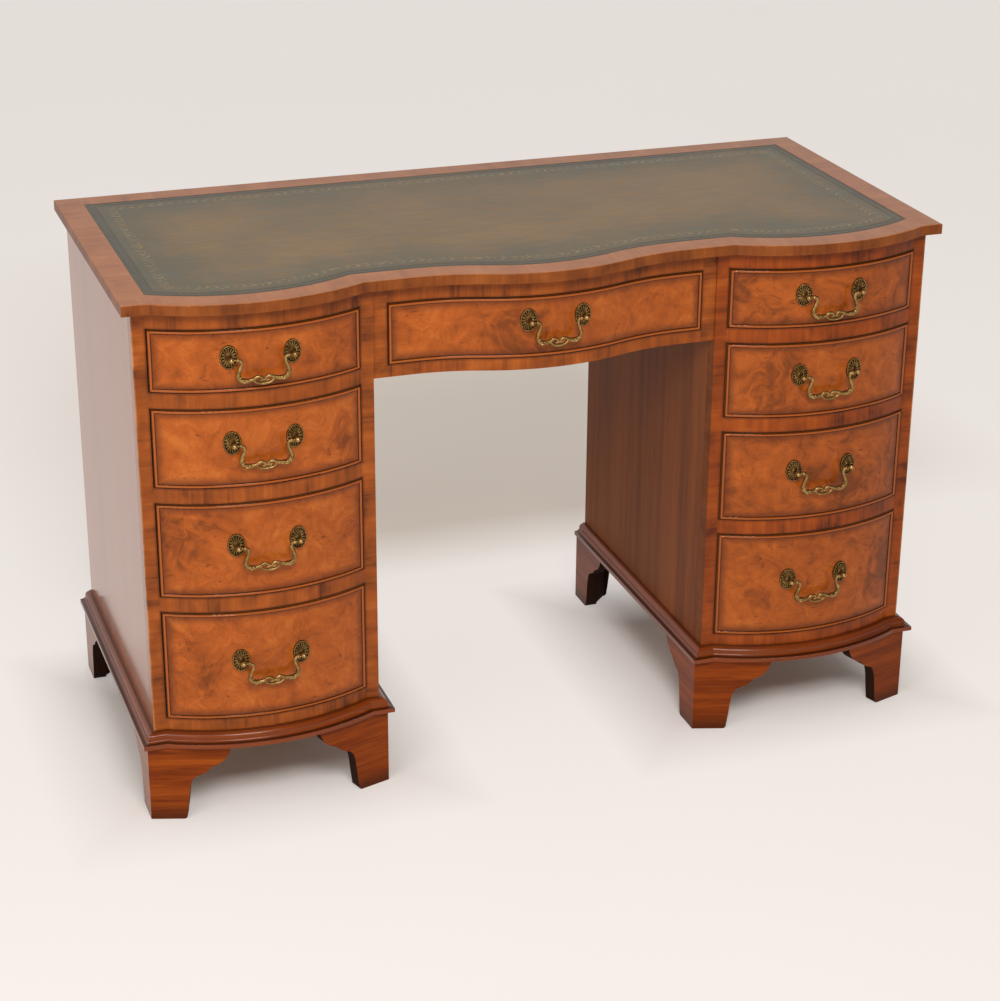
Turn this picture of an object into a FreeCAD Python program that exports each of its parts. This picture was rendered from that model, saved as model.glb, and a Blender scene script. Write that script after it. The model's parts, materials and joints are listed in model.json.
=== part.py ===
import FreeCAD, Part
import math
import os

V = FreeCAD.Vector

# A free-standing kneehole desk: two drawer pedestals with bowed fronts, a shallow
# serpentine drawer between them, a thin crossbanded top with a leather panel let
# into it, a planted base moulding and shaped bracket feet. Millimetres.
# The front faces -Y, +X is to the right, +Z is up, the floor is z = 0.

# Overall driving sizes
desk_width = 1220.0
desk_height = 788.0
pedestal_width = 336.0
pedestal_depth = 498.0
top_thickness = 15.0
side_overhang = 15.0
front_overhang = 20.0
back_overhang = 12.0
foot_height = 120.0

# Front shape in plan
bow_rise = 37.0
top_bow_rise = 38.0
top_bow_spread = 2.5
centre_setback = 3.0
centre_rise = 34.0
top_centre_rise = 36.0
centre_flat_share = 0.79

# Carcase boards
panel_thickness = 18.0
stile_width = 19.0
stile_depth = 22.0
back_thickness = 6.0
back_rebate = 9.0
board_thickness = 18.0
rail_depth = 35.0
blade_height = 23.0
frieze_height = 26.0
apron_height = 18.0
base_rail_visible = 18.0
tenon_length = 8.0
centre_stile_width = 21.5
runner_width = 18.0
centre_runner_width = 54.0
guide_height = 34.0
stop_thickness = 4.0
stop_width = 24.0
stop_length = 22.0
stop_offset = 66.0

# Drawers of a pedestal grow downwards by the same step
drawer_step = 26.0

# Drawer pieces and their clearances
front_thickness = 24.0
side_gap = 1.4
top_gap = 1.8
bottom_gap = 1.2
bead_width = 4.8
bead_proud = 2.4
bead_depth = 6.0
bead_round = 2.0
edge_round = 1.2
box_side = 9.0
box_top_gap = 3.0
box_back_gap = 20.0
bottom_panel = 5.0
bottom_raise = 8.0
groove_depth = 4.0
tail_pitch = 30.0
stop_gap = 0.4

# Handles
handle_half = 44.0
handle_lift = 8.0
top_handle_lift = 5.0
centre_handle_half = 40.5
centre_handle_lift = 10.0
post_reach = 16.0
post_ball = 4.6
post_neck = 3.3
shank_radius = 2.0
shank_room = 0.25
pin_radius = 1.3
pin_room = 0.4
rosette_half_width = 12.6
rosette_half_height = 17.2
rosette_plate = 1.8
rosette_tier = 1.4
rosette_boss = 3.2
boss_radius = 5.4
nut_radius = 4.2
nut_height = 4.0
shank_spare = 2.0
bail_radius = 2.1
knuckle_radius = 3.2
knuckle_gap = 0.9

# Base moulding and feet
moulding_height = 20.5
moulding_reach = 19.0
foot_reach = 12.0
foot_front_reach = 5.5
foot_back_reach = 8.0
foot_splay = 0.317
bracket_thickness = 20.0
bracket_length = 114.5
block_reach = 26.0
block_gap = 2.0

# Leather panel
leather_border = 39.0
leather_thickness = 1.0

# Fixing screws of the top
screw_radius = 2.0
screw_head_radius = 4.0
screw_bite = 9.0
front_screw_inset = 70.0
back_screw_inset = 90.0

# Derived places
half_width = desk_width / 2.0
top_under = desk_height - top_thickness
half_depth = (pedestal_depth + front_overhang + back_overhang + top_bow_rise) / 2.0
top_back_y = half_depth
top_front_y = top_back_y - (pedestal_depth + front_overhang + back_overhang)
front_y = top_front_y + front_overhang
back_y = front_y + pedestal_depth
pedestal_half = pedestal_width / 2.0
pedestal_x = half_width - side_overhang - pedestal_half
kneehole_half = pedestal_x - pedestal_half
opening_half = pedestal_half - stile_width
moulding_top = foot_height + moulding_height
base_floor = moulding_top + base_rail_visible
rail_back_y = front_y + rail_depth
inside_back_y = back_y - back_thickness
panel_inner = pedestal_half - panel_thickness
centre_front_y = front_y + centre_setback
centre_half = kneehole_half - centre_stile_width
centre_flat = kneehole_half * centre_flat_share
apron_back_y = back_y - board_thickness

# Drawer openings as (bottom, height), top drawer first
frieze_under = top_under - frieze_height
drawer_room = frieze_under - base_floor - 3.0 * blade_height
first_opening = (drawer_room - 6.0 * drawer_step) / 4.0
second_opening = first_opening + drawer_step
third_opening = second_opening + drawer_step
fourth_opening = third_opening + drawer_step
opening_1 = frieze_under - first_opening
opening_2 = opening_1 - blade_height - second_opening
opening_3 = opening_2 - blade_height - third_opening
opening_4 = base_floor
pedestal_openings = [
    ("top", opening_1, first_opening, top_handle_lift),
    ("second", opening_2, second_opening, handle_lift),
    ("third", opening_3, third_opening, handle_lift),
    ("bottom", opening_4, fourth_opening, handle_lift),
]
apron_under = opening_1 - apron_height


# Plain solids
def box(x0, x1, y0, y1, z0, z1):
    return Part.makeBox(x1 - x0, y1 - y0, z1 - z0, V(x0, y0, z0))


def prism(points, z0, z1):
    ring = [V(x, y, z0) for x, y in points]
    face = Part.Face(Part.makePolygon(ring + [ring[0]]))
    return face.extrude(V(0, 0, z1 - z0))


def plan_solid(edges, z0, z1):
    face = Part.Face(Part.Wire(edges))
    solid = face.extrude(V(0, 0, z1 - z0))
    solid.translate(V(0, 0, z0))
    return solid


def line(a, b):
    return Part.makeLine(V(a[0], a[1], 0), V(b[0], b[1], 0))


def arc(a, b, c):
    return Part.Arc(V(a[0], a[1], 0), V(b[0], b[1], 0), V(c[0], c[1], 0)).toShape()


def one_solid(shape):
    solids = shape.Solids
    if len(solids) != 1:
        raise RuntimeError("expected one solid, found %d" % len(solids))
    return solids[0]


def arc_radius(half_chord, rise):
    return (half_chord ** 2 + rise ** 2) / (2.0 * rise)


# The bowed front of a pedestal, seen in plan about the pedestal's own centre
class Bow:
    def __init__(self, half_chord, base_y, rise):
        self.radius = arc_radius(half_chord, rise)
        self.centre_y = base_y - rise + self.radius

    def y(self, x):
        return self.centre_y - math.sqrt(self.radius ** 2 - x ** 2)

    def turn(self, x):
        return math.asin(x / self.radius)

    def edges(self, x_half, shift):
        left = (-x_half, self.y(x_half) + shift)
        middle = (0.0, self.y(0.0) + shift)
        right = (x_half, self.y(x_half) + shift)
        return [arc(left, middle, right)]


# The serpentine front between the pedestals: flat ends, two hollows and a swell
class Wave:
    def __init__(self, flat_start, base_y, rise):
        self.flat = flat_start
        self.base = base_y
        self.rise = rise
        self.radius = arc_radius(flat_start / 2.0, rise / 2.0)

    def y(self, x):
        x = abs(x)
        if x >= self.flat:
            return self.base
        if x >= self.flat / 2.0:
            reach = self.flat - x
            return self.base - self.radius + math.sqrt(self.radius ** 2 - reach ** 2)
        return self.base - self.rise + self.radius - math.sqrt(self.radius ** 2 - x ** 2)

    def turn(self, x):
        return math.asin(x / self.radius)

    def edges(self, x_half, shift):
        def at(x):
            return (x, self.y(x) + shift)
        half = self.flat / 2.0
        return [
            line(at(-x_half), at(-self.flat)),
            arc(at(-self.flat), at(-self.flat * 0.75), at(-half)),
            arc(at(-half), at(0.0), at(half)),
            arc(at(half), at(self.flat * 0.75), at(self.flat)),
            line(at(self.flat), at(x_half)),
        ]


# A board whose front follows the plan curve and whose back follows it or is straight
def curved_board(curve, x_half, front_shift, back_shift, z0, z1):
    front = curve.edges(x_half, front_shift)
    back = curve.edges(x_half, back_shift)
    end_front = curve.y(x_half) + front_shift
    end_back = curve.y(x_half) + back_shift
    right = line((x_half, end_front), (x_half, end_back))
    left = line((-x_half, end_back), (-x_half, end_front))
    return plan_solid(Part.__sortEdges__(front + [right] + back + [left]), z0, z1)


def flat_backed_board(curve, x_half, front_shift, straight_y, z0, z1):
    front = curve.edges(x_half, front_shift)
    end_front = curve.y(x_half) + front_shift
    right = line((x_half, end_front), (x_half, straight_y))
    back = line((x_half, straight_y), (-x_half, straight_y))
    left = line((-x_half, straight_y), (-x_half, end_front))
    return plan_solid(front + [right, back, left], z0, z1)


pedestal_bow = Bow(opening_half, front_y, bow_rise)
centre_wave = Wave(centre_flat, centre_front_y, centre_rise)

nodes = {}


# The top board: square corners, a flat over each outer stile, a bow over each
# pedestal and the serpentine between them, with a shallow bed for the leather
top_bow_half = opening_half + top_bow_spread
top_bow = Bow(top_bow_half, top_front_y, top_bow_rise)
top_wave = Wave(centre_flat, top_front_y, top_centre_rise)


def top_front_edges():
    outer = pedestal_x + top_bow_half
    inner = pedestal_x - top_bow_half
    peak = top_front_y - top_bow_rise
    edges = [line((-half_width, top_front_y), (-outer, top_front_y))]
    edges.append(arc((-outer, top_front_y), (-pedestal_x, peak), (-inner, top_front_y)))
    edges += top_wave.edges(inner, 0.0)
    edges.append(arc((inner, top_front_y), (pedestal_x, peak), (outer, top_front_y)))
    edges.append(line((outer, top_front_y), (half_width, top_front_y)))
    return edges


# The leather's outline keeps one border width from every edge of the top
def leather_edges():
    side = half_width - leather_border
    back = top_back_y - leather_border
    base = top_front_y + leather_border
    bow_r = top_bow.radius - leather_border
    bow_c = top_bow.centre_y
    hollow_r = top_wave.radius + leather_border
    swell_r = top_wave.radius - leather_border
    hollow_c = top_wave.base - top_wave.radius
    swell_c = top_wave.base - top_wave.rise + top_wave.radius
    lean = top_wave.turn(top_wave.flat / 2.0)

    def on_bow(x):
        return (x, bow_c - math.sqrt(bow_r ** 2 - (x - pedestal_x) ** 2))

    def on_hollow(angle):
        return (top_wave.flat - hollow_r * math.sin(angle), hollow_c + hollow_r * math.cos(angle))

    def on_swell(angle):
        return (swell_r * math.sin(angle), swell_c - swell_r * math.cos(angle))

    def other(point):
        return (-point[0], point[1])

    reach = math.sqrt(bow_r ** 2 - (bow_c - base) ** 2)
    inner = (pedestal_x - reach, base)
    corner = on_bow(side)
    middle = on_bow((side + inner[0]) / 2.0)
    flat = on_hollow(0.0)
    hollow = on_hollow(lean / 2.0)
    bend = on_swell(lean)
    return [
        line((-side, back), other(corner)),
        arc(other(corner), other(middle), other(inner)),
        line(other(inner), other(flat)),
        arc(other(flat), other(hollow), other(bend)),
        arc(other(bend), on_swell(0.0), bend),
        arc(bend, hollow, flat),
        line(flat, inner),
        arc(inner, middle, corner),
        line(corner, (side, back)),
        line((side, back), (-side, back)),
    ]


top_edges = top_front_edges()
top_edges.append(line((half_width, top_front_y), (half_width, top_back_y)))
top_edges.append(line((half_width, top_back_y), (-half_width, top_back_y)))
top_edges.append(line((-half_width, top_back_y), (-half_width, top_front_y)))
desk_top = plan_solid(top_edges, top_under, desk_height)
leather = plan_solid(leather_edges(), desk_height - leather_thickness, desk_height)
desk_top = one_solid(desk_top.cut(leather))
nodes["leather_writing_surface"] = [leather]


# One pedestal about its own centre line
left_stile = box(-pedestal_half, -opening_half, front_y, front_y + stile_depth, foot_height, top_under)
right_stile = box(opening_half, pedestal_half, front_y, front_y + stile_depth, foot_height, top_under)


def bowed_rail(z0, z1):
    rail = flat_backed_board(pedestal_bow, opening_half, 0.0, rail_back_y, z0, z1)
    middle = front_y + stile_depth / 2.0
    inset = min(4.0, (z1 - z0) / 5.0)
    for side in (-1.0, 1.0):
        near = side * (opening_half - 1.0)
        far = side * (opening_half + tenon_length)
        tenon = box(min(near, far), max(near, far), middle - 4.0, middle + 4.0, z0 + inset, z1 - inset)
        rail = rail.fuse(tenon)
    return one_solid(rail.removeSplitter())


rails = [
    bowed_rail(frieze_under, top_under),
    bowed_rail(opening_1 - blade_height, opening_1),
    bowed_rail(opening_2 - blade_height, opening_2),
    bowed_rail(opening_3 - blade_height, opening_3),
    bowed_rail(foot_height, base_floor),
]
for rail in rails:
    left_stile = left_stile.cut(rail)
    right_stile = right_stile.cut(rail)
front_frame = [one_solid(left_stile), one_solid(right_stile)] + rails

panel_front_y = front_y + stile_depth
side_panel = box(panel_inner, pedestal_half, panel_front_y, back_y, foot_height, top_under)
side_panel = side_panel.cut(
    box(panel_inner - 1.0, panel_inner + back_rebate, inside_back_y, back_y + 1.0, foot_height - 1.0, top_under + 1.0)
)
right_panel = one_solid(side_panel)
left_panel = right_panel.mirror(V(0, 0, 0), V(1, 0, 0))
back_half = panel_inner + back_rebate
pedestal_back = box(-back_half, back_half, inside_back_y, back_y, foot_height, top_under)
bottom_board = box(-panel_inner, panel_inner, rail_back_y, inside_back_y, base_floor - board_thickness, base_floor)


# Runners carry the drawer sides, kickers under the top keep the top drawer level,
# and small stops behind each drawer front meet it when the drawer is shut
def stop_pair(curve, z):
    outer = stop_offset + stop_width / 2.0
    inner = stop_offset - stop_width / 2.0
    y = curve.y(outer) + front_thickness + stop_gap
    return [
        box(inner, outer, y, y + stop_length, z, z + stop_thickness),
        box(-outer, -inner, y, y + stop_length, z, z + stop_thickness),
    ]


runner_inner = panel_inner - runner_width
runners = []
for z in (opening_1, opening_2, opening_3):
    for side in (-1.0, 1.0):
        near = side * runner_inner
        far = side * panel_inner
        runners.append(
            box(min(near, far), max(near, far), rail_back_y, inside_back_y, z - board_thickness, z)
        )
for name, z, height, lift in pedestal_openings:
    runners += stop_pair(pedestal_bow, z)

kicker_right = box(runner_inner, panel_inner, rail_back_y, inside_back_y, frieze_under, top_under)
kicker_left = kicker_right.mirror(V(0, 0, 0), V(1, 0, 0))


# Screws pass up through the kickers into the top
def top_screw(x, y):
    head_z = frieze_under
    shank = Part.makeCylinder(screw_radius, frieze_height + screw_bite, V(x, y, head_z))
    head = Part.makeCone(screw_head_radius, screw_radius, screw_head_radius - screw_radius, V(x, y, head_z))
    return one_solid(shank.fuse(head).removeSplitter())


screw_places = (rail_back_y + front_screw_inset, inside_back_y - back_screw_inset)
kicker_middle = (runner_inner + panel_inner) / 2.0
pedestal_screws = []
for y in screw_places:
    for side in (-1.0, 1.0):
        screw = top_screw(side * kicker_middle, y)
        pedestal_screws.append(screw)
        kicker_right = kicker_right.cut(screw)
        kicker_left = kicker_left.cut(screw)
runners.append(one_solid(kicker_left))
runners.append(one_solid(kicker_right))


# The planted base moulding: a small fillet, an ogee and a square nosing. Its section
# is drawn for a reach of 19 and a height of 20.5 and follows the set sizes
def moulding_face(place):
    wide = moulding_reach / 19.0
    high = moulding_height / 20.5

    def p(out, drop):
        return place(out * wide, moulding_top - drop * high)

    edges = [
        Part.makeLine(p(0, 20.5), p(0, 0)),
        Part.makeLine(p(0, 0), p(3.5, 0)),
        Part.makeLine(p(3.5, 0), p(3.5, 1.5)),
        Part.Arc(p(3.5, 1.5), p(8.95, 3.8), p(10.45, 9.0)).toShape(),
        Part.Arc(p(10.45, 9.0), p(11.55, 11.8), p(15.0, 13.2)).toShape(),
        Part.makeLine(p(15.0, 13.2), p(15.0, 14.0)),
        Part.makeLine(p(15.0, 14.0), p(18.2, 14.0)),
        Part.Arc(p(18.2, 14.0), p(18.77, 14.23), p(19.0, 14.8)).toShape(),
        Part.makeLine(p(19.0, 14.8), p(19.0, 20.5)),
        Part.makeLine(p(19.0, 20.5), p(0, 20.5)),
    ]
    return Part.Face(Part.Wire(edges))


far = 200.0
crease_lean = pedestal_bow.turn(opening_half) / 2.0
crease = (opening_half, front_y)
crease_out = (opening_half + far * math.tan(crease_lean), front_y - far)
corner = (pedestal_half, front_y)
corner_out = (pedestal_half + far, front_y - far)

bow_face = moulding_face(lambda out, z: V(0, pedestal_bow.centre_y - pedestal_bow.radius - out, z))
spread = math.degrees(2.0 * crease_lean) + 4.0
bow_face.rotate(V(0, pedestal_bow.centre_y, 0), V(0, 0, 1), -spread)
bow_moulding = bow_face.revolve(V(0, pedestal_bow.centre_y, 0), V(0, 0, 1), 2.0 * spread)
bow_zone = prism(
    [
        (-opening_half, front_y),
        (-crease_out[0], crease_out[1]),
        (crease_out[0], crease_out[1]),
        (opening_half, front_y),
        (0.0, front_y + 40.0),
    ],
    foot_height - 1.0,
    moulding_top + 1.0,
)
bow_moulding = one_solid(bow_moulding.common(bow_zone))

flat_face = moulding_face(lambda out, z: V(opening_half - 5.0, front_y - out, z))
flat_moulding = flat_face.extrude(V(stile_width + moulding_reach + 20.0, 0, 0))
flat_zone = prism([crease, crease_out, corner_out, corner], foot_height - 1.0, moulding_top + 1.0)
flat_right = one_solid(flat_moulding.common(flat_zone))
flat_left = flat_right.mirror(V(0, 0, 0), V(1, 0, 0))

side_face = moulding_face(lambda out, z: V(pedestal_half + out, back_y, z))
side_moulding = side_face.extrude(V(0, -(pedestal_depth + moulding_reach + 10.0), 0))
side_zone = prism(
    [corner, corner_out, (pedestal_half + far, back_y), (pedestal_half, back_y)],
    foot_height - 1.0,
    moulding_top + 1.0,
)
side_right = one_solid(side_moulding.common(side_zone))
side_left = side_right.mirror(V(0, 0, 0), V(1, 0, 0))
moulding = [bow_moulding, flat_left, flat_right, side_left, side_right]


# Bracket feet: two shaped boards mitred at the corner with a glue block behind.
# The cut edge runs from the toe up an ankle and along two scallops to the top.
ankle = [(50.3, 7.0), (52.0, 18.0), (53.6, 32.0), (55.0, 45.0), (57.2, 57.0), (60.2, 65.0), (65.5, 70.5)]
scallop_1 = [(65.5, 70.5), (74.5, 74.3), (81.3, 79.2), (86.5, 85.4)]
scallop_2 = [(86.5, 85.4), (94.5, 89.2), (102.5, 94.8), (108.3, 102.5), (112.3, 111.5), (114.5, 120.0)]
profile_high = foot_height / 120.0
profile_long = bracket_length / 114.5


def curve_through(points):
    spline = Part.BSplineCurve()
    spline.interpolate(points)
    return spline.toShape()


def bracket_outline(place):
    def q(point):
        return place(point[0] * profile_long, point[1] * profile_high)
    start = q((-40.0, 0.0))
    heel = q((46.0, 0.0))
    toe = q((50.3, 7.0))
    round_middle = q((49.3, 2.4))
    top_end = q((114.5, 120.0))
    top_start = q((-40.0, 120.0))
    edges = [
        Part.makeLine(start, heel),
        Part.Arc(heel, round_middle, toe).toShape(),
        curve_through([q(point) for point in ankle]),
        curve_through([q(point) for point in scallop_1]),
        curve_through([q(point) for point in scallop_2]),
        Part.makeLine(top_end, top_start),
        Part.makeLine(top_start, start),
    ]
    return Part.Face(Part.Wire(edges))


foot_x = pedestal_half + foot_reach
foot_inner_x = foot_x - bracket_thickness
front_corner_y = front_y - foot_front_reach
rear_corner_y = back_y + foot_back_reach
splay_length = math.sqrt(1.0 + foot_splay ** 2)

# Front foot on the right: the front board is set back at an angle to follow the bow
end_x = foot_x - bracket_length
end_y = front_corner_y - foot_splay * bracket_length
inward = (-foot_splay / splay_length * bracket_thickness, bracket_thickness / splay_length)
inner_start = (foot_x + inward[0], front_corner_y + inward[1])
mitre_y = inner_start[1] - foot_splay * (inner_start[0] - foot_inner_x)
mitre = (foot_inner_x, mitre_y)
front_plan = [
    (foot_x, front_corner_y),
    (end_x - 5.0, end_y - 5.0 * foot_splay),
    (end_x - 5.0 + inward[0], end_y - 5.0 * foot_splay + inward[1]),
    mitre,
]
front_cut = bracket_outline(
    lambda d, z: V(foot_x - d - inward[0], front_corner_y - foot_splay * d - inward[1], z)
)
front_cut = front_cut.extrude(V(3.0 * inward[0], 3.0 * inward[1], 0))
front_bracket = one_solid(prism(front_plan, 0.0, foot_height).common(front_cut))
side_plan = [
    (foot_x, front_corner_y),
    (foot_x, front_corner_y + bracket_length + 5.0),
    (foot_inner_x, front_corner_y + bracket_length + 5.0),
    mitre,
]
side_cut = bracket_outline(lambda d, z: V(foot_x - 3.0 * bracket_thickness, front_corner_y + d, z))
side_cut = side_cut.extrude(V(6.0 * bracket_thickness, 0, 0))
side_bracket = one_solid(prism(side_plan, 0.0, foot_height).common(side_cut))
front_block = prism(
    [mitre, (foot_inner_x, mitre[1] + block_reach), (foot_inner_x - block_reach, mitre[1] - foot_splay * block_reach)],
    block_gap,
    foot_height,
)

# Back foot on the right: a side board like the front one and a board across the back
rear_plan = [
    (foot_x, rear_corner_y),
    (foot_x, rear_corner_y - bracket_length - 5.0),
    (foot_inner_x, rear_corner_y - bracket_length - 5.0),
    (foot_inner_x, rear_corner_y - bracket_thickness),
]
rear_cut = bracket_outline(lambda d, z: V(foot_x - 3.0 * bracket_thickness, rear_corner_y - d, z))
rear_cut = rear_cut.extrude(V(6.0 * bracket_thickness, 0, 0))
rear_side_bracket = one_solid(prism(rear_plan, 0.0, foot_height).common(rear_cut))
back_plan = [
    (foot_x, rear_corner_y),
    (foot_x - bracket_length - 5.0, rear_corner_y),
    (foot_x - bracket_length - 5.0, rear_corner_y - bracket_thickness),
    (foot_inner_x, rear_corner_y - bracket_thickness),
]
back_cut = bracket_outline(lambda d, z: V(foot_x - d, rear_corner_y - 3.0 * bracket_thickness, z))
back_cut = back_cut.extrude(V(0, 6.0 * bracket_thickness, 0))
back_bracket = one_solid(prism(back_plan, 0.0, foot_height).common(back_cut))
rear_inner_y = rear_corner_y - bracket_thickness
rear_block = prism(
    [
        (foot_inner_x, rear_inner_y),
        (foot_inner_x, rear_inner_y - block_reach),
        (foot_inner_x - block_reach, rear_inner_y),
    ],
    block_gap,
    foot_height,
)
right_feet = [front_bracket, side_bracket, front_block, rear_side_bracket, back_bracket, rear_block]
left_feet = [solid.mirror(V(0, 0, 0), V(1, 0, 0)) for solid in right_feet]
feet = right_feet + left_feet

# Both pedestals are the same about their own centres
top_screws = []
for hand, side in (("left", -1.0), ("right", 1.0)):
    shift = V(side * pedestal_x, 0, 0)

    def placed(solids):
        return [solid.translated(shift) for solid in solids]

    outer = left_panel if side < 0 else right_panel
    inner = right_panel if side < 0 else left_panel
    nodes[hand + "_outer_side"] = placed([outer])
    nodes[hand + "_inner_side"] = placed([inner])
    nodes[hand + "_back"] = placed([pedestal_back])
    nodes[hand + "_front_frame"] = placed(front_frame)
    nodes[hand + "_bottom_board"] = placed([bottom_board])
    nodes[hand + "_drawer_runners"] = placed(runners)
    nodes[hand + "_base_moulding"] = placed(moulding)
    nodes[hand + "_bracket_feet"] = placed(feet)
    top_screws += placed(pedestal_screws)


# The frieze between the pedestals: end stiles, a top rail, a shaped apron and, at
# the back, a plain board
centre_back_y = centre_front_y + rail_depth
stile_back_y = centre_front_y + stile_depth


def centre_rail(z0, z1):
    rail = flat_backed_board(centre_wave, centre_half, 0.0, centre_back_y, z0, z1)
    middle = centre_front_y + stile_depth / 2.0
    for side in (-1.0, 1.0):
        near = side * (centre_half - 1.0)
        far_end = side * (centre_half + tenon_length)
        tenon = box(min(near, far_end), max(near, far_end), middle - 4.0, middle + 4.0, z0 + 4.0, z1 - 4.0)
        rail = rail.fuse(tenon)
    return one_solid(rail.removeSplitter())


centre_rails = [centre_rail(frieze_under, top_under), centre_rail(apron_under, opening_1)]
end_stile = box(centre_half, kneehole_half, centre_front_y, stile_back_y, apron_under, top_under)
for rail in centre_rails:
    end_stile = end_stile.cut(rail)
end_stile = one_solid(end_stile)
nodes["centre_front_frame"] = [end_stile, end_stile.mirror(V(0, 0, 0), V(1, 0, 0))] + centre_rails
nodes["centre_back_apron"] = [box(-kneehole_half, kneehole_half, apron_back_y, back_y, apron_under, top_under)]

# Each centre runner is an L in section: a ledge under the drawer side and a guide
ledge = box(
    kneehole_half - centre_runner_width, kneehole_half, centre_back_y, apron_back_y, apron_under, opening_1
)
guide = box(centre_half, kneehole_half, centre_back_y, apron_back_y, opening_1 - 1.0, opening_1 + guide_height)
centre_runner = one_solid(ledge.fuse(guide).removeSplitter())
centre_kicker = box(
    kneehole_half - centre_runner_width, kneehole_half, centre_back_y, apron_back_y, frieze_under, top_under
)
centre_screw_x = kneehole_half - centre_runner_width / 2.0
centre_screws = []
for y in screw_places:
    centre_screws.append(top_screw(centre_screw_x, y))
for screw in centre_screws:
    centre_kicker = centre_kicker.cut(screw)
centre_kicker = one_solid(centre_kicker)
mirrored_screws = [screw.mirror(V(0, 0, 0), V(1, 0, 0)) for screw in centre_screws]
top_screws += centre_screws + mirrored_screws
nodes["centre_drawer_runners"] = [
    centre_runner,
    centre_runner.mirror(V(0, 0, 0), V(1, 0, 0)),
    centre_kicker,
    centre_kicker.mirror(V(0, 0, 0), V(1, 0, 0)),
] + stop_pair(centre_wave, opening_1)
for screw in top_screws:
    desk_top = desk_top.cut(screw)


# The upper outer edge of the top is eased
def is_upper_outer(edge):
    ends = [vertex.Point for vertex in edge.Vertexes]
    high = all(abs(point.z - desk_height) < 0.001 for point in ends)
    at_side = any(abs(abs(point.x) - half_width) < 0.01 for point in ends)
    at_front = all(point.y <= top_front_y + 0.01 for point in ends)
    return high and (at_side or at_front)


eased_edges = [edge for edge in desk_top.Edges if is_upper_outer(edge)]
desk_top = desk_top.makeFillet(edge_round, eased_edges)
nodes["desk_top"] = [one_solid(desk_top)]
nodes["top_fixing_screws"] = top_screws


# A drawer: a curved front edged with cockbeads, sides dovetailed to the front and
# back, and a thin bottom held in grooves
def tail_prisms(x0, x1, root_y, tip_y, z0, z1):
    count = max(2, int(round((z1 - z0) / tail_pitch)))
    pitch = (z1 - z0) / count
    solids = []
    for index in range(count):
        middle = z0 + pitch * (index + 0.5)
        narrow = pitch * 0.26
        wide = pitch * 0.38
        ring = [
            V(x0, root_y, middle - narrow),
            V(x0, root_y, middle + narrow),
            V(x0, tip_y, middle + wide),
            V(x0, tip_y, middle - wide),
        ]
        face = Part.Face(Part.makePolygon(ring + [ring[0]]))
        solids.append(face.extrude(V(x1 - x0, 0, 0)))
    return solids


def dovetail(side_board, end_board, prisms):
    overlap = side_board.common(end_board)
    tails = overlap.common(Part.makeCompound(prisms))
    new_side = one_solid(side_board.cut(end_board).fuse(tails).removeSplitter())
    new_end = one_solid(end_board.cut(tails))
    return new_side, new_end


def bead_strips(curve, half, z0, z1):
    band = curved_board(curve, half, -bead_proud, bead_depth, z0, z1)
    w = bead_width
    outlines = [
        [(-half, z1), (half, z1), (half - w, z1 - w), (-half + w, z1 - w)],
        [(-half, z0), (half, z0), (half - w, z0 + w), (-half + w, z0 + w)],
        [(-half, z0), (-half, z1), (-half + w, z1 - w), (-half + w, z0 + w)],
        [(half, z0), (half, z1), (half - w, z1 - w), (half - w, z0 + w)],
    ]
    plain = []
    rounded = []
    for number, outline in enumerate(outlines):
        ring = [V(x, -half_depth - 100.0, z) for x, z in outline]
        cutter = Part.Face(Part.makePolygon(ring + [ring[0]])).extrude(V(0, 2.0 * half_depth, 0))
        strip = one_solid(band.common(cutter))
        plain.append(strip)
        nose = []
        for edge in strip.Edges:
            ends = [vertex.Point for vertex in edge.Vertexes]
            if len(ends) != 2:
                continue
            proud = all(abs(e.y - curve.y(min(abs(e.x), half)) + bead_proud) < 0.01 for e in ends)
            level = abs(ends[0].z - ends[1].z) < 0.001
            upright = abs(ends[0].x - ends[1].x) < 0.001
            along = level if number < 2 else upright
            if proud and along:
                nose.append(edge)
        rounded.append(one_solid(strip.makeFillet(bead_round, nose)))
    return plain, rounded


# A cast rosette with the post that carries the bail, its shank and its nut
def oval(half_wide, half_high, thickness):
    ellipse = Part.Ellipse(V(0, 0, half_high), V(half_wide, 0, 0), V(0, 0, 0))
    face = Part.Face(Part.Wire([ellipse.toShape()]))
    return face.extrude(V(0, -thickness, 0))


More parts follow.
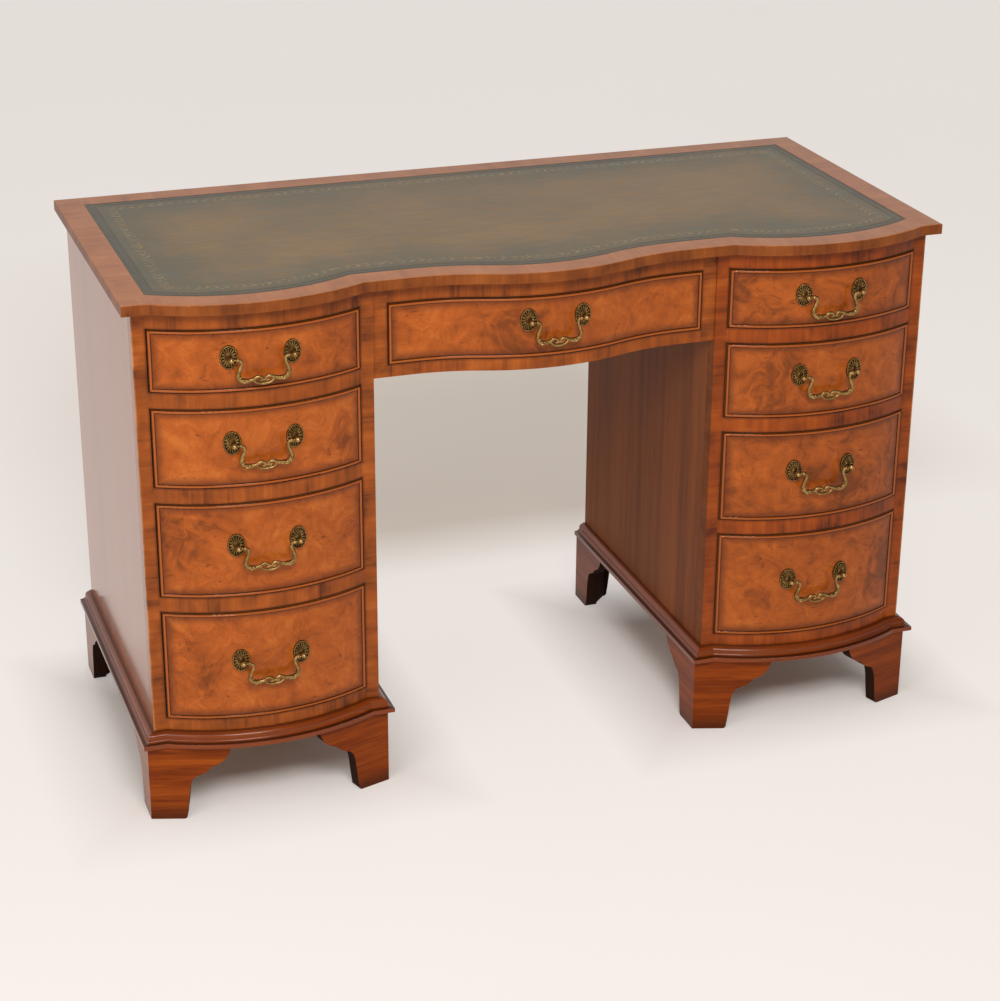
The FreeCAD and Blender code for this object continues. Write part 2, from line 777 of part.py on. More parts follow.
def handle_mount(curve, front, x, z):
    face_y = curve.y(x)
    pivot_y = face_y - post_reach
    lean = math.degrees(curve.turn(x))
    plate = oval(rosette_half_width, rosette_half_height, rosette_plate + 2.0)
    plate.translate(V(0, 2.0, 0))
    tier = oval(rosette_half_width * 0.7, rosette_half_height * 0.72, rosette_plate + rosette_tier)
    boss = Part.makeCylinder(boss_radius, rosette_plate + rosette_boss, V(0, 0, 0), V(0, -1, 0))
    rosette = plate.fuse([tier, boss]).removeSplitter()
    rosette.rotate(V(0, 0, 0), V(0, 0, 1), lean)
    rosette.translate(V(x, face_y, z))
    corners = [math.radians(60 * k) for k in range(7)]
    nut = Part.makePolygon([V(x + nut_radius * math.cos(a), 0, z + nut_radius * math.sin(a)) for a in corners])
    nut_seat = face_y + front_thickness
    nut = Part.Face(nut).extrude(V(0, nut_height + 2.0, 0))
    nut.translate(V(0, nut_seat - 2.0, 0))
    shank_end = nut_seat + nut_height + shank_spare
    shank = Part.makeCylinder(shank_radius, shank_end - pivot_y, V(x, pivot_y, z), V(0, 1, 0))
    room = Part.makeCylinder(shank_radius + shank_room, shank_end - pivot_y + 2.0, V(x, pivot_y, z), V(0, 1, 0))
    front = one_solid(front.cut(room))
    seat = front.fuse(room)
    rosette = one_solid(rosette.cut(seat))
    nut = nut.cut(seat.cut(room))
    nut = one_solid(nut.cut(shank))
    neck = Part.makeCone(post_neck, post_neck - 0.6, post_reach - 2.0, V(x, face_y - 0.5, z), V(0, -1, 0))
    ball = Part.makeSphere(post_ball, V(x, pivot_y, z))
    post = ball.fuse([neck, shank]).removeSplitter()
    inward = -1.0 if x > 0 else 1.0
    hole_start = x - inward * 2.6
    hole = Part.makeCylinder(pin_radius + pin_room, 12.0, V(hole_start, pivot_y, z), V(inward, 0, 0))
    post = one_solid(post.cut(hole).cut(rosette))
    return front, rosette, post, nut


# The bail hangs from the two posts: a swan-necked bar with a heart at its middle
def bail_tube(points, radii, radius):
    path = []
    last = points[0]
    for index in range(1, len(points) - 1):
        here = points[index]
        before = (points[index - 1] - here).normalize()
        after = (points[index + 1] - here).normalize()
        half_angle = before.getAngle(after) / 2.0
        reach = radii[index] / math.tan(half_angle)
        enter = here + before * reach
        leave = here + after * reach
        middle_way = (before + after).normalize()
        centre = here + middle_way * (radii[index] / math.sin(half_angle))
        middle = centre - middle_way * radii[index]
        path.append(Part.makeLine(last, enter))
        path.append(Part.Arc(enter, middle, leave).toShape())
        last = leave
    path.append(Part.makeLine(last, points[-1]))
    wire = Part.Wire(path)
    start = (points[1] - points[0]).normalize()
    ring = Part.Wire([Part.makeCircle(radius, points[0], start)])
    tube = wire.makePipeShell([ring], True, False)
    if not isinstance(tube, Part.Solid):
        tube = Part.Solid(Part.Shell(tube.Faces))
    return tube


def make_bail(post_x, pivot_y, z):
    knuckle_x = post_x - post_ball - knuckle_gap - knuckle_radius
    half = [
        ((knuckle_x, 0.0), 0.0),
        ((knuckle_x - 4.1, -8.8), 8.0),
        ((knuckle_x + 2.3, -29.8), 6.0),
        ((knuckle_x - 11.8, -35.0), 11.0),
        ((12.0, -29.4), 9.0),
        ((5.6, -27.6), 6.0),
    ]
    right = [(V(x, pivot_y, z + h), r) for (x, h), r in half]
    left = [(V(-x, pivot_y, z + h), r) for (x, h), r in reversed(half)]
    whole = right + [(V(0, pivot_y, z - 30.6), 5.0)] + left
    bar = bail_tube([p for p, r in whole], [r for p, r in whole], bail_radius)
    loop = [
        (V(14.5, pivot_y, z - 30.8), 0.0),
        (V(9.6, pivot_y, z - 36.0), 4.5),
        (V(0, pivot_y, z - 40.4), 4.0),
        (V(-9.6, pivot_y, z - 36.0), 4.5),
        (V(-14.5, pivot_y, z - 30.8), 0.0),
    ]
    heart = bail_tube([p for p, r in loop], [r for p, r in loop], bail_radius * 0.78)
    pieces = [heart]
    for side in (-1.0, 1.0):
        pieces.append(Part.makeSphere(knuckle_radius, V(side * knuckle_x, pivot_y, z)))
        pin_length = post_x - knuckle_x + 1.4
        pieces.append(
            Part.makeCylinder(pin_radius, pin_length, V(side * knuckle_x, pivot_y, z), V(side, 0, 0))
        )
    return one_solid(bar.fuse(pieces).removeSplitter())


def make_drawer(curve, half_opening, z_floor, height, post_x, lift, box_back):
    half = half_opening - side_gap
    z0 = z_floor + bottom_gap
    z1 = z_floor + height - top_gap
    side_top = z_floor + height - box_top_gap
    panel_low = z_floor + bottom_raise
    panel_high = panel_low + bottom_panel
    front = curved_board(curve, half, 0.0, front_thickness, z0, z1)
    plain_beads, beads = bead_strips(curve, half, z0, z1)
    front = one_solid(front.cut(Part.makeCompound(plain_beads)))

    inner = half - box_side
    tip_y = curve.y(half) + bead_depth + 1.6
    root_y = curve.y(half) + front_thickness + 4.0
    right_side = box(inner, half, tip_y, box_back, z_floor, side_top)
    left_side = box(-half, -inner, tip_y, box_back, z_floor, side_top)
    panel_half = inner + groove_depth
    panel_front = curve.edges(panel_half, front_thickness - groove_depth)
    start_y = curve.y(panel_half) + front_thickness - groove_depth
    panel = plan_solid(
        panel_front + [
            line((panel_half, start_y), (panel_half, box_back)),
            line((panel_half, box_back), (-panel_half, box_back)),
            line((-panel_half, box_back), (-panel_half, start_y)),
        ],
        panel_low,
        panel_high,
    )
    back = box(-half, half, box_back - box_side, box_back, panel_high, side_top - 4.0)

    tail_low = panel_high + 1.0
    right_tails = tail_prisms(inner - 1.0, half + 1.0, root_y, tip_y - 0.01, tail_low, side_top - 3.0)
    left_tails = tail_prisms(-half - 1.0, -inner + 1.0, root_y, tip_y - 0.01, tail_low, side_top - 3.0)
    right_side, front = dovetail(right_side, front, right_tails)
    left_side, front = dovetail(left_side, front, left_tails)
    rear_root = box_back - box_side - 3.0
    right_tails = tail_prisms(inner - 1.0, half + 1.0, rear_root, box_back + 0.01, tail_low, side_top - 5.0)
    left_tails = tail_prisms(-half - 1.0, -inner + 1.0, rear_root, box_back + 0.01, tail_low, side_top - 5.0)
    right_side, back = dovetail(right_side, back, right_tails)
    left_side, back = dovetail(left_side, back, left_tails)

    front = one_solid(front.cut(panel))
    right_side = one_solid(right_side.cut(panel))
    left_side = one_solid(left_side.cut(panel))

    handle_z = z_floor + height / 2.0 + lift
    mounts = []
    for x in (-post_x, post_x):
        front, rosette, post, nut = handle_mount(curve, front, x, handle_z)
        mounts += [rosette, post, nut]
    bail = make_bail(post_x, curve.y(post_x) - post_reach, handle_z)
    return {
        "front": [front] + beads,
        "box": [left_side, right_side, back, panel],
        "handle_mounts": mounts,
        "bail": [bail],
    }


def add_drawer(name, pieces, shift):
    for part_name, solids in pieces.items():
        nodes[name + "_" + part_name] = [solid.translated(V(shift, 0, 0)) for solid in solids]


box_back_y = inside_back_y - box_back_gap
for name, z_floor, height, lift in pedestal_openings:
    pieces = make_drawer(pedestal_bow, opening_half, z_floor, height, handle_half, lift, box_back_y)
    add_drawer("left_" + name + "_drawer", pieces, -pedestal_x)
    add_drawer("right_" + name + "_drawer", pieces, pedestal_x)
centre_box_back = apron_back_y - box_back_gap
centre_pieces = make_drawer(
    centre_wave, centre_half, opening_1, first_opening, centre_handle_half, centre_handle_lift, centre_box_back
)
add_drawer("centre_drawer", centre_pieces, 0.0)


# One file for each node
os.makedirs("parts", exist_ok=True)
for name, solids in nodes.items():
    for solid in solids:
        if not solid.isValid() or solid.Volume <= 0.0:
            raise RuntimeError("bad solid in " + name)
    shape = solids[0] if len(solids) == 1 else Part.makeCompound(solids)
    shape.exportStep(os.path.join("parts", name + ".step"))
print(len(nodes), "nodes", sum(len(solids) for solids in nodes.values()), "solids")
print("pivot", pedestal_bow.y(handle_half) - post_reach, centre_wave.y(centre_handle_half) - post_reach)
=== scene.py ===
"""A kneehole desk in walnut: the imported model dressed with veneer, leather and brass, in a plain studio."""
import json
import math
from functools import partial

import bpy
from mathutils import Matrix, Vector

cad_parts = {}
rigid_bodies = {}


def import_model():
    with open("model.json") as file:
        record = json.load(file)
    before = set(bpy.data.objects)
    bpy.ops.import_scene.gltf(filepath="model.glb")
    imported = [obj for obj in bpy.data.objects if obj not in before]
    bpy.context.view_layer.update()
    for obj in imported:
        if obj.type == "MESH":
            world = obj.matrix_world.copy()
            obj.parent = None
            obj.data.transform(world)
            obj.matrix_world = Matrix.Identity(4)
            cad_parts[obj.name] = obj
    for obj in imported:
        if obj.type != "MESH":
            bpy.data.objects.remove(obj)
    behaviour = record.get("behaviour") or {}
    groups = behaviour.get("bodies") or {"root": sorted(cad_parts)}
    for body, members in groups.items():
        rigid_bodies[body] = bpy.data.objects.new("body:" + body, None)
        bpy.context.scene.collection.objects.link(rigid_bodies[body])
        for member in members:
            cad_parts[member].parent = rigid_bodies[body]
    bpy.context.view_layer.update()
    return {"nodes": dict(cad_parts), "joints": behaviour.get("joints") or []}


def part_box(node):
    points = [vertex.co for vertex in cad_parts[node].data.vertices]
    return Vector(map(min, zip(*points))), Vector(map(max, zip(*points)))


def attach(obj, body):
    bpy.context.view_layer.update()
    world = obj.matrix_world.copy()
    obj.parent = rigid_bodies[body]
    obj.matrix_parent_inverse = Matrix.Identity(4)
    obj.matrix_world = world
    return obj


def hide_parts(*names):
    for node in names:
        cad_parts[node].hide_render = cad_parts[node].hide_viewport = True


bpy.ops.object.select_all(action="SELECT")
bpy.ops.object.delete()
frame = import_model()
nodes = frame["nodes"]

# Side panels
# Four upright boards faced with straight-grained walnut veneer, one on each side of a pedestal.
# They are glued into the front frame and the back, and their outer faces are polished.
mm = 0.001


def linear(hex_colour):
    """An sRGB hex colour as the linear colour that a shader takes."""
    values = [int(hex_colour[i:i + 2], 16) / 255 for i in (1, 3, 5)]
    return [v / 12.92 if v <= 0.04045 else ((v + 0.055) / 1.055) ** 2.4 for v in values] + [1.0]


def add_node(tree, kind, sockets, **settings):
    """Adds one node. A socket gets a value, or a link from an output or a node's first output in use."""
    node = tree.nodes.new("ShaderNode" + kind)
    for name, value in settings.items():
        setattr(node, name, value)
    for key, value in sockets.items():
        if isinstance(value, bpy.types.Node):
            value = next(output for output in value.outputs if output.enabled)
        if isinstance(value, bpy.types.NodeSocket):
            tree.links.new(value, node.inputs[key])
        else:
            node.inputs[key].default_value = value
    return node


def new_finish(name):
    """An empty material, the function that adds nodes to it, and the place on the piece, in metres."""
    finish = bpy.data.materials.new(name)
    finish.use_nodes = True
    finish.node_tree.nodes.clear()
    add = partial(add_node, finish.node_tree)
    return finish, add, add("TexCoord", {}).outputs


def set_stops(ramp, stops):
    """Gives a colour ramp its stops, each a place and a hex colour."""
    elements = ramp.color_ramp.elements
    while len(elements) < len(stops):
        elements.new(0.5)
    for element, (at, colour) in zip(elements, stops):
        element.position = at
        element.color = linear(colour)


def polish(add, colour, height, depth, shine):
    """Polished timber: a thin clear coat over the grain, which is felt as a slight relief."""
    relief = add("Bump", {"Strength": 0.5, "Distance": depth, "Height": height})
    surface = add("BsdfPrincipled", {
        "Base Color": colour, "Roughness": shine["under"], "IOR": shine["index"], "Normal": relief,
        "Coat Weight": shine["coat"], "Coat Roughness": shine["top"], "Coat IOR": 1.4,
    })
    add("OutputMaterial", {"Surface": surface})


# French polish in two states: rubbed out on the outer sides, and gone dull inside the kneehole
rubbed_out = {"under": 0.16, "coat": 0.2, "top": 0.1, "index": 1.48}
gone_dull = {"under": 0.5, "coat": 0.0, "top": 0.3, "index": 1.2}


def straight_grain(name, stops, fibre_width, band_width, stretch, run, shine, depth):
    """Boards whose fibres run along one axis: fine streaks over broad, slowly wandering bands."""
    finish, add, place = new_finish(name)
    squeeze = [1 / stretch if axis in run else 1.0 for axis in "xyz"]
    along = add("Mapping", {"Vector": place["Object"], "Scale": squeeze})
    fibres = add("TexNoise", {"Vector": along, "Scale": 1 / fibre_width, "Detail": 4.0, "Roughness": 0.62})
    bands = add("TexNoise", {"Vector": along, "Scale": 1 / band_width, "Detail": 2.5, "Distortion": 0.5})
    both = add("Mix", {0: 0.36, 2: bands, 3: fibres})
    tone = add("ValToRGB", {"Fac": both})
    set_stops(tone, stops)
    polish(add, tone, fibres, depth, shine)
    return finish


# Walnut veneer, quarter cut: reddish brown with fine dark pores, glossy outside and dull inside
side_tones = [(0.30, "#8a4719"), (0.48, "#9d531f"), (0.60, "#a75b24"), (0.75, "#b5672d")]
outer_veneer = straight_grain(
    "quarter_cut_walnut_rubbed_out", side_tones,
    fibre_width=3.2 * mm, band_width=34 * mm, stretch=26, run="z", shine=rubbed_out, depth=0.05 * mm,
)
inner_veneer = straight_grain(
    "quarter_cut_walnut_dull", [(0.30, "#643318"), (0.48, "#80451f"), (0.60, "#8e4f24"), (0.75, "#9e5c2d")],
    fibre_width=3.2 * mm, band_width=34 * mm, stretch=26, run="z", shine=gone_dull, depth=0.1 * mm,
)
for hand in ("left", "right"):
    nodes[hand + "_outer_side"].data.materials[0] = outer_veneer
    nodes[hand + "_inner_side"].data.materials[0] = inner_veneer

# Backs, bottom boards, runners and the rear apron
# Thin stained backs in rebates, and plain softwood boards, runners and kickers glued and screwed inside.
# The rear apron joins the pedestals behind the centre drawer and is stained darker than the sides.
waxed = {"under": 0.6, "coat": 0.0, "top": 0.3, "index": 1.36}
back_board = straight_grain(
    "stained_plywood", [(0.25, "#643a20"), (0.5, "#814f2a"), (0.75, "#966236")],
    fibre_width=4 * mm, band_width=60 * mm, stretch=22, run="z", shine=waxed, depth=0.2 * mm,
)
inner_timber = straight_grain(
    "planed_softwood", [(0.25, "#7d5d3c"), (0.5, "#9c7a52"), (0.75, "#b18e63")],
    fibre_width=3.5 * mm, band_width=26 * mm, stretch=24, run="y", shine=waxed, depth=0.2 * mm,
)
cross_walnut = straight_grain(
    "stained_walnut_board",
    [(0.30, "#4a2413"), (0.48, "#683720"), (0.60, "#794428"), (0.75, "#8d5433")],
    fibre_width=3.2 * mm, band_width=34 * mm, stretch=26, run="x", shine=gone_dull, depth=0.1 * mm,
)
for hand in ("left", "right"):
    nodes[hand + "_back"].data.materials[0] = back_board
    nodes[hand + "_bottom_board"].data.materials[0] = inner_timber
    nodes[hand + "_drawer_runners"].data.materials[0] = inner_timber
nodes["centre_drawer_runners"].data.materials[0] = inner_timber
nodes["centre_back_apron"].data.materials[0] = cross_walnut

# Front frames
# Stiles and bowed rails tenoned together and faced with crossbanded walnut veneer.
# The veneer's grain lies across each stile and rail, and it is laid in short strips.
pedestal_x = 427 * mm
opening_half = 149 * mm
centre_half = 237.5 * mm
# Polish over open-pored timber: soft wide highlights with a sharper, weaker one on top
polished = {"under": 0.40, "coat": 0.13, "top": 0.14, "index": 1.27}


def crossbanding(
    name, choose_second, choose_edge, first, second, strip, stops, edge_stops, swing,
    corner=None, fronts=(),
):
    """Veneer strips laid with the grain across a band: streaks, smoky patches and strip to strip changes.

    Faces at the edge of the band take tones of their own, which painted shade may darken, and swing is
    how far the tones wander. Where corners carry a painted highlight, corner is how far out they stand.
    Dirt and painted shade lie round the drawer fronts' boxes.
    """
    finish, add, place = new_finish(name)
    at = place["Object"]
    where = add("SeparateXYZ", {"Vector": at}).outputs
    mask = choose_second(add, where)
    along_first = add("Mapping", {"Vector": at, "Scale": first})
    along_second = add("Mapping", {"Vector": at, "Scale": second})
    along = add("Mix", {0: mask, 4: along_first, 5: along_second}, data_type="VECTOR")
    fibres = add("TexNoise", {"Vector": along, "Scale": 1 / (3.4 * mm), "Detail": 3.0, "Roughness": 0.6})
    streaks = add("TexNoise", {"Vector": along, "Scale": 1 / (13 * mm), "Detail": 2.0, "Distortion": 0.8})
    smoke = add("TexNoise", {"Vector": at, "Scale": 1 / (44 * mm), "Detail": 3.0, "Distortion": 0.4})
    cut = add("VectorMath", {0: along, 1: (strip, strip, strip)}, operation="SNAP")
    batch = add("TexWhiteNoise", {"Vector": cut})
    grain = add("Mix", {0: 0.36, 2: streaks, 3: fibres})
    clouded = add("Mix", {0: 0.5, 2: grain, 3: smoke})
    shift = add("MapRange", {"Value": batch, "To Min": -0.025, "To Max": 0.025})
    level = add("Math", {0: clouded, 1: shift}, operation="ADD")
    spread = add("MapRange", {"Value": level, "From Min": 0.5 - swing, "From Max": 0.5 + swing})
    face_tone = add("ValToRGB", {"Fac": spread})
    set_stops(face_tone, stops)
    edge_tone = add("ValToRGB", {"Fac": spread})
    set_stops(edge_tone, edge_stops)
    facing = add("SeparateXYZ", {"Vector": place["Normal"]}).outputs
    on_edge, roughness, edge_shade = choose_edge(add, where, facing)
    # Edge faces can be darkened here, as painted shade
    shaded_edge_tone = add("VectorMath", {0: edge_tone, "Scale": edge_shade}, operation="SCALE")
    tone = add("Mix", {0: on_edge, 6: face_tone, 7: shaded_edge_tone}, data_type="RGBA")
    # A soft dark line round each drawer: dirt left by hands and dusters, and painted shade at the gap
    mirrored = add("VectorMath", {0: at}, operation="ABSOLUTE")
    for low, high in fronts:
        shifted = add("VectorMath", {0: mirrored, 1: (low + high) / 2}, operation="SUBTRACT")
        spread_out = add("VectorMath", {0: shifted}, operation="ABSOLUTE")
        beyond = add("VectorMath", {0: spread_out, 1: (high - low) / 2}, operation="SUBTRACT")
        gap = add("SeparateXYZ", {"Vector": beyond}).outputs
        off = add("Math", {0: gap["X"], 1: gap["Z"]}, operation="MAXIMUM")
        gap_dirt_and_shade = add("MapRange", {
            "Value": off, "From Min": 1.0 * mm, "From Max": 5.5 * mm, "To Min": 0.6, "To Max": 0.0,
        }, interpolation_type="SMOOTHSTEP")
        tone = add("Mix", {0: gap_dirt_and_shade, 6: tone, 7: linear("#43200b")}, data_type="RGBA")
    # A painted highlight runs along the outermost corners, broken into patches
    if corner:
        out = add("Math", {0: where["X"]}, operation="ABSOLUTE")
        corner_highlight_band = add("MapRange", {
            "Value": out, "From Min": corner - 2.2 * mm, "From Max": corner - 1.0 * mm, "To Max": 0.55,
        })
        patchy = add("MapRange", {"Value": smoke, "From Min": 0.3, "From Max": 0.6})
        rubbed = add("Math", {0: corner_highlight_band, 1: patchy}, operation="MULTIPLY")
        off_edge = add("Math", {0: 1.0, 1: on_edge}, operation="SUBTRACT")
        painted_corner_highlight = add("Math", {0: rubbed, 1: off_edge}, operation="MULTIPLY")
        tone = add("Mix", {0: painted_corner_highlight, 6: tone, 7: linear("#d09a63")}, data_type="RGBA")
    polish(add, tone, fibres, 0.08 * mm, dict(polished, under=roughness))
    return finish


def distance_from(add, value, middle):
    """How far a value lies from a middle value, to either side."""
    off = add("Math", {0: value, 1: middle}, operation="SUBTRACT")
    return add("Math", {0: off}, operation="ABSOLUTE")


def from_pedestal(add, where):
    """How far sideways a place lies from the middle of the nearer pedestal."""
    out = add("Math", {0: where["X"]}, operation="ABSOLUTE")
    return distance_from(add, out, pedestal_x)


def on_pedestal_stile(add, where):
    """One on the stiles of a pedestal's frame, nought on its rails."""
    away = from_pedestal(add, where)
    return add("Math", {0: away, 1: opening_half}, operation="GREATER_THAN")


def further_out(add, where, limit):
    """One where a place lies further sideways from the middle of the desk than a limit, or else nought."""
    out = add("Math", {0: where["X"]}, operation="ABSOLUTE")
    return add("Math", {0: out, 1: limit}, operation="GREATER_THAN")


def on_centre_stile(add, where):
    """One on the end stiles of the centre frame, nought on its rails."""
    return further_out(add, where, centre_half)


def on_frame_side(add, where, facing):
    """Stile edges are like the sides: glossy outside; in the kneehole dull, and dark with painted shade."""
    sideways = add("Math", {0: facing["X"]}, operation="ABSOLUTE")
    on_side = add("Math", {0: sideways, 1: 0.9}, operation="GREATER_THAN")
    outside = further_out(add, where, pedestal_x)
    side_rough = add("MapRange", {"Value": outside, "To Min": 0.9, "To Max": 0.16})
    roughness = add("Mix", {0: on_side, 2: 0.4, 3: side_rough})
    # In the kneehole the edges are darkened past the inner sides' tone as painted shade
    kneehole_shade = add("MapRange", {"Value": outside, "To Min": 0.58, "To Max": 1.0})
    return on_side, roughness, kneehole_shade


# The right pedestal's frame takes redder, darker tones: painted shade for its weaker light and sheen
frame_tones = [(0.0, "#612c0e"), (0.3, "#864213"), (0.6, "#9a4c16"), (1.0, "#af5c1e")]
right_shaded_tones = [(0.0, "#5d2508"), (0.3, "#81390b"), (0.6, "#95420d"), (1.0, "#a95013")]
frame_side_tones = [(0.0, "#8a4719"), (0.4, "#9a511e"), (0.7, "#a55a24"), (1.0, "#b0632b")]
upright_grain = (1.0, 0.2, 0.05)
level_grain = (0.05, 0.2, 1.0)
frame_corner = 595 * mm
frame_strip = 61 * mm
frame_swing = 0.145
tiers = ("top", "second", "third", "bottom")
pedestal_fronts = [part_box("right_" + tier + "_drawer_front") for tier in tiers]
for hand, tones in (("left", frame_tones), ("right", right_shaded_tones)):
    nodes[hand + "_front_frame"].data.materials[0] = crossbanding(
        "crossbanded_walnut_" + hand, on_pedestal_stile, on_frame_side, upright_grain, level_grain,
        frame_strip, tones, frame_side_tones, frame_swing, frame_corner, pedestal_fronts,
    )
nodes["centre_front_frame"].data.materials[0] = crossbanding(
    "crossbanded_walnut_centre", on_centre_stile, on_frame_side, upright_grain, level_grain, frame_strip,
    frame_tones, frame_side_tones, frame_swing, frame_corner, [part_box("centre_drawer_front")],
)

# Base mouldings
# Solid stained hardwood, run in lengths with two rounded members, mitred at the corners and glued on.
# Cloths polish the rounded parts, so they carry bright lines of light.
cloth_polished = {"under": 0.28, "coat": 0.35, "top": 0.16, "index": 1.32}


def lying_grain(add, place, stops):
    """Tones of boards whose grain lies level all round, with the fine fibres and the bands behind them."""
    along = add("Mapping", {"Vector": place["Object"], "Scale": (0.06, 0.06, 1.0)})
    fibres = add("TexNoise", {"Vector": along, "Scale": 1 / (2.8 * mm), "Detail": 4.0})
    bands = add("TexNoise", {"Vector": along, "Scale": 1 / (17 * mm), "Detail": 2.5, "Distortion": 0.5})
    both = add("Mix", {0: 0.4, 2: bands, 3: fibres})
    tone = add("ValToRGB", {"Fac": both})
    set_stops(tone, stops)
    return tone, fibres, bands


finish, add, place = new_finish("stained_hardwood_moulding")
moulding_tones = [(0.30, "#642508"), (0.46, "#7a340a"), (0.58, "#863c0c"), (0.74, "#964914")]
tone, fibres = lying_grain(add, place, moulding_tones)[:2]
# Dust, old wax and painted shade darken the quirk on top of the lower member
# and the ledge against the pedestal
where = add("SeparateXYZ", {"Vector": place["Object"]}).outputs
moulding_under = 120 * mm
moulding_top = 140.5 * mm
rise = add("MapRange", {"Value": where["Z"], "From Min": moulding_under, "From Max": moulding_top})
quirk_dirt_and_shade = add("ValToRGB", {"Fac": rise})
set_stops(quirk_dirt_and_shade, [
    (0.295, "#000000"), (0.31, "#e0e0e0"), (0.35, "#e0e0e0"), (0.41, "#000000"), (0.93, "#000000"),
    (0.955, "#c4c4c4"),
])
dirty_and_shaded_tone = add("Mix", {0: quirk_dirt_and_shade, 6: tone, 7: linear("#260f06")}, data_type="RGBA")
polish(add, dirty_and_shaded_tone, fibres, 0.05 * mm, cloth_polished)
for hand in ("left", "right"):
    nodes[hand + "_base_moulding"].data.materials[0] = finish

# Bracket feet
# Boards of stained hardwood, fretted to a scalloped edge, mitred at the corner and glued to a block behind.
# Only the outer faces are polished: the cut edges, the backs and the blocks are coloured nearly black.
finish, add, place = new_finish("fretted_stained_hardwood")
foot_tones = [(0.30, "#5c2305"), (0.46, "#7c3409"), (0.58, "#8f400c"), (0.74, "#a34e14")]
tone, fibres, bands = lying_grain(add, place, foot_tones)
# An outer face looks away from the middle of its pedestal, either sideways or to the front or back
where = add("SeparateXYZ", {"Vector": place["Object"]}).outputs
facing = add("SeparateXYZ", {"Vector": place["Normal"]}).outputs
hand_side = add("Math", {0: where["X"]}, operation="SIGN")
middle = add("Math", {0: hand_side, 1: -pedestal_x, 2: where["X"]}, operation="MULTIPLY_ADD")
out_x = add("Math", {0: middle}, operation="SIGN")
out_y = add("Math", {0: where["Y"]}, operation="SIGN")
away_x = add("Math", {0: out_x, 1: facing["X"]}, operation="MULTIPLY")
away_y = add("Math", {0: out_y, 1: facing["Y"]}, operation="MULTIPLY")
away = add("Math", {0: away_x, 1: away_y}, operation="MAXIMUM")
square_on = 0.85
hidden = add("Math", {0: away, 1: square_on}, operation="LESS_THAN")
# The polished faces are darker towards the floor
floor_band = add("Math", {0: bands, 1: -24 * mm, 2: where["Z"]}, operation="MULTIPLY_ADD")
dark_near_floor = add("MapRange", {
    "Value": floor_band, "From Min": -10 * mm, "From Max": 18 * mm, "To Min": 0.7, "To Max": 0.0,
}, interpolation_type="SMOOTHSTEP")
floor_darkened_tone = add("Mix", {0: dark_near_floor, 6: tone, 7: linear("#3b1a0b")}, data_type="RGBA")
# The faces that carry on the outer sides are painted paler: a painted sheen like the glare on the sides
to_side = add("Math", {0: away_x, 1: square_on}, operation="GREATER_THAN")
outermost = further_out(add, where, pedestal_x)
outer_sheen = add("Math", {0: to_side, 1: outermost}, operation="MULTIPLY")
painted_sheen = add("Math", {0: outer_sheen, 1: 0.45}, operation="MULTIPLY")
sheen_painted_tone = add("Mix", {0: painted_sheen, 6: floor_darkened_tone, 7: linear("#a87250")}, data_type="RGBA")
foot_tone = add("Mix", {0: hidden, 6: sheen_painted_tone, 7: linear("#2b150b")}, data_type="RGBA")
foot_rough = add("MapRange", {"Value": hidden, "To Min": 0.24, "To Max": 0.8})
handled = {"under": foot_rough, "coat": 0.0, "top": 0.3, "index": 1.2}
polish(add, foot_tone, fibres, 0.06 * mm, handled)
for hand in ("left", "right"):
    nodes[hand + "_bracket_feet"].data.materials[0] = finish

# Top
# A board with a bowed and serpentine front, crossbanded all round and mitred at the corners.
# The middle is sunk for the leather, and screws from below hold it to the carcase.
top_half = 610 * mm
top_back = 284 * mm
top_front = 246 * mm


def on_top_end(add, where):
    """One on the bands at the two ends of the top, nought on the front and back bands."""
    out = add("Math", {0: where["X"]}, operation="ABSOLUTE")
    from_end = add("Math", {0: top_half, 1: out}, operation="SUBTRACT")
    from_back = add("Math", {0: top_back, 1: where["Y"]}, operation="SUBTRACT")
    from_front = add("Math", {0: where["Y"], 1: top_front}, operation="ADD")
    nearest = add("Math", {0: from_back, 1: from_front}, operation="MINIMUM")
    return add("Math", {0: from_end, 1: nearest}, operation="LESS_THAN")


def on_top_edge(add, where, facing):
    """The upright edge of the top is darker than its face, and a little duller."""
    on_edge = add("Math", {0: facing["Z"], 1: 0.5}, operation="LESS_THAN")
    roughness = add("MapRange", {"Value": on_edge, "To Min": 0.36, "To Max": 0.44})
    return on_edge, roughness, 1.0


top_tones = [(0.0, "#8f4f20"), (0.3, "#a55f2c"), (0.6, "#af6834"), (1.0, "#bc7540")]
top_edge_tones = [(0.0, "#5a280d"), (0.3, "#763b12"), (0.6, "#884617"), (1.0, "#9c5721")]
lengthwise_grain = (1.0, 0.06, 0.06)
endwise_grain = (0.06, 1.0, 0.06)
nodes["desk_top"].data.materials[0] = crossbanding(
    "crossbanded_walnut_top", on_top_end, on_top_edge, lengthwise_grain, endwise_grain, 73 * mm,
    top_tones, top_edge_tones, swing=0.19,
)

# Writing surface
# A skin of antiqued green-brown hide glued into the sunk middle of the top.
# Two blind lines and a gold leaf border are tooled into it along all four edges.
hide = nodes["leather_writing_surface"]
leather = bpy.data.objects.new("tooled_leather_panel", hide.data.copy())
bpy.context.scene.collection.objects.link(leather)
bpy.ops.object.select_all(action="DESELECT")
leather.select_set(True)
bpy.context.view_layer.objects.active = leather


def pick_faces(piece, test):
    """Goes into edit mode with only the faces selected that pass a test."""
    bpy.ops.object.mode_set(mode="EDIT")
    bpy.ops.mesh.select_mode(type="FACE")
    bpy.ops.mesh.select_all(action="DESELECT")
    bpy.ops.object.mode_set(mode="OBJECT")
    for face in piece.data.polygons:
        face.select = test(face)
    bpy.ops.object.mode_set(mode="EDIT")


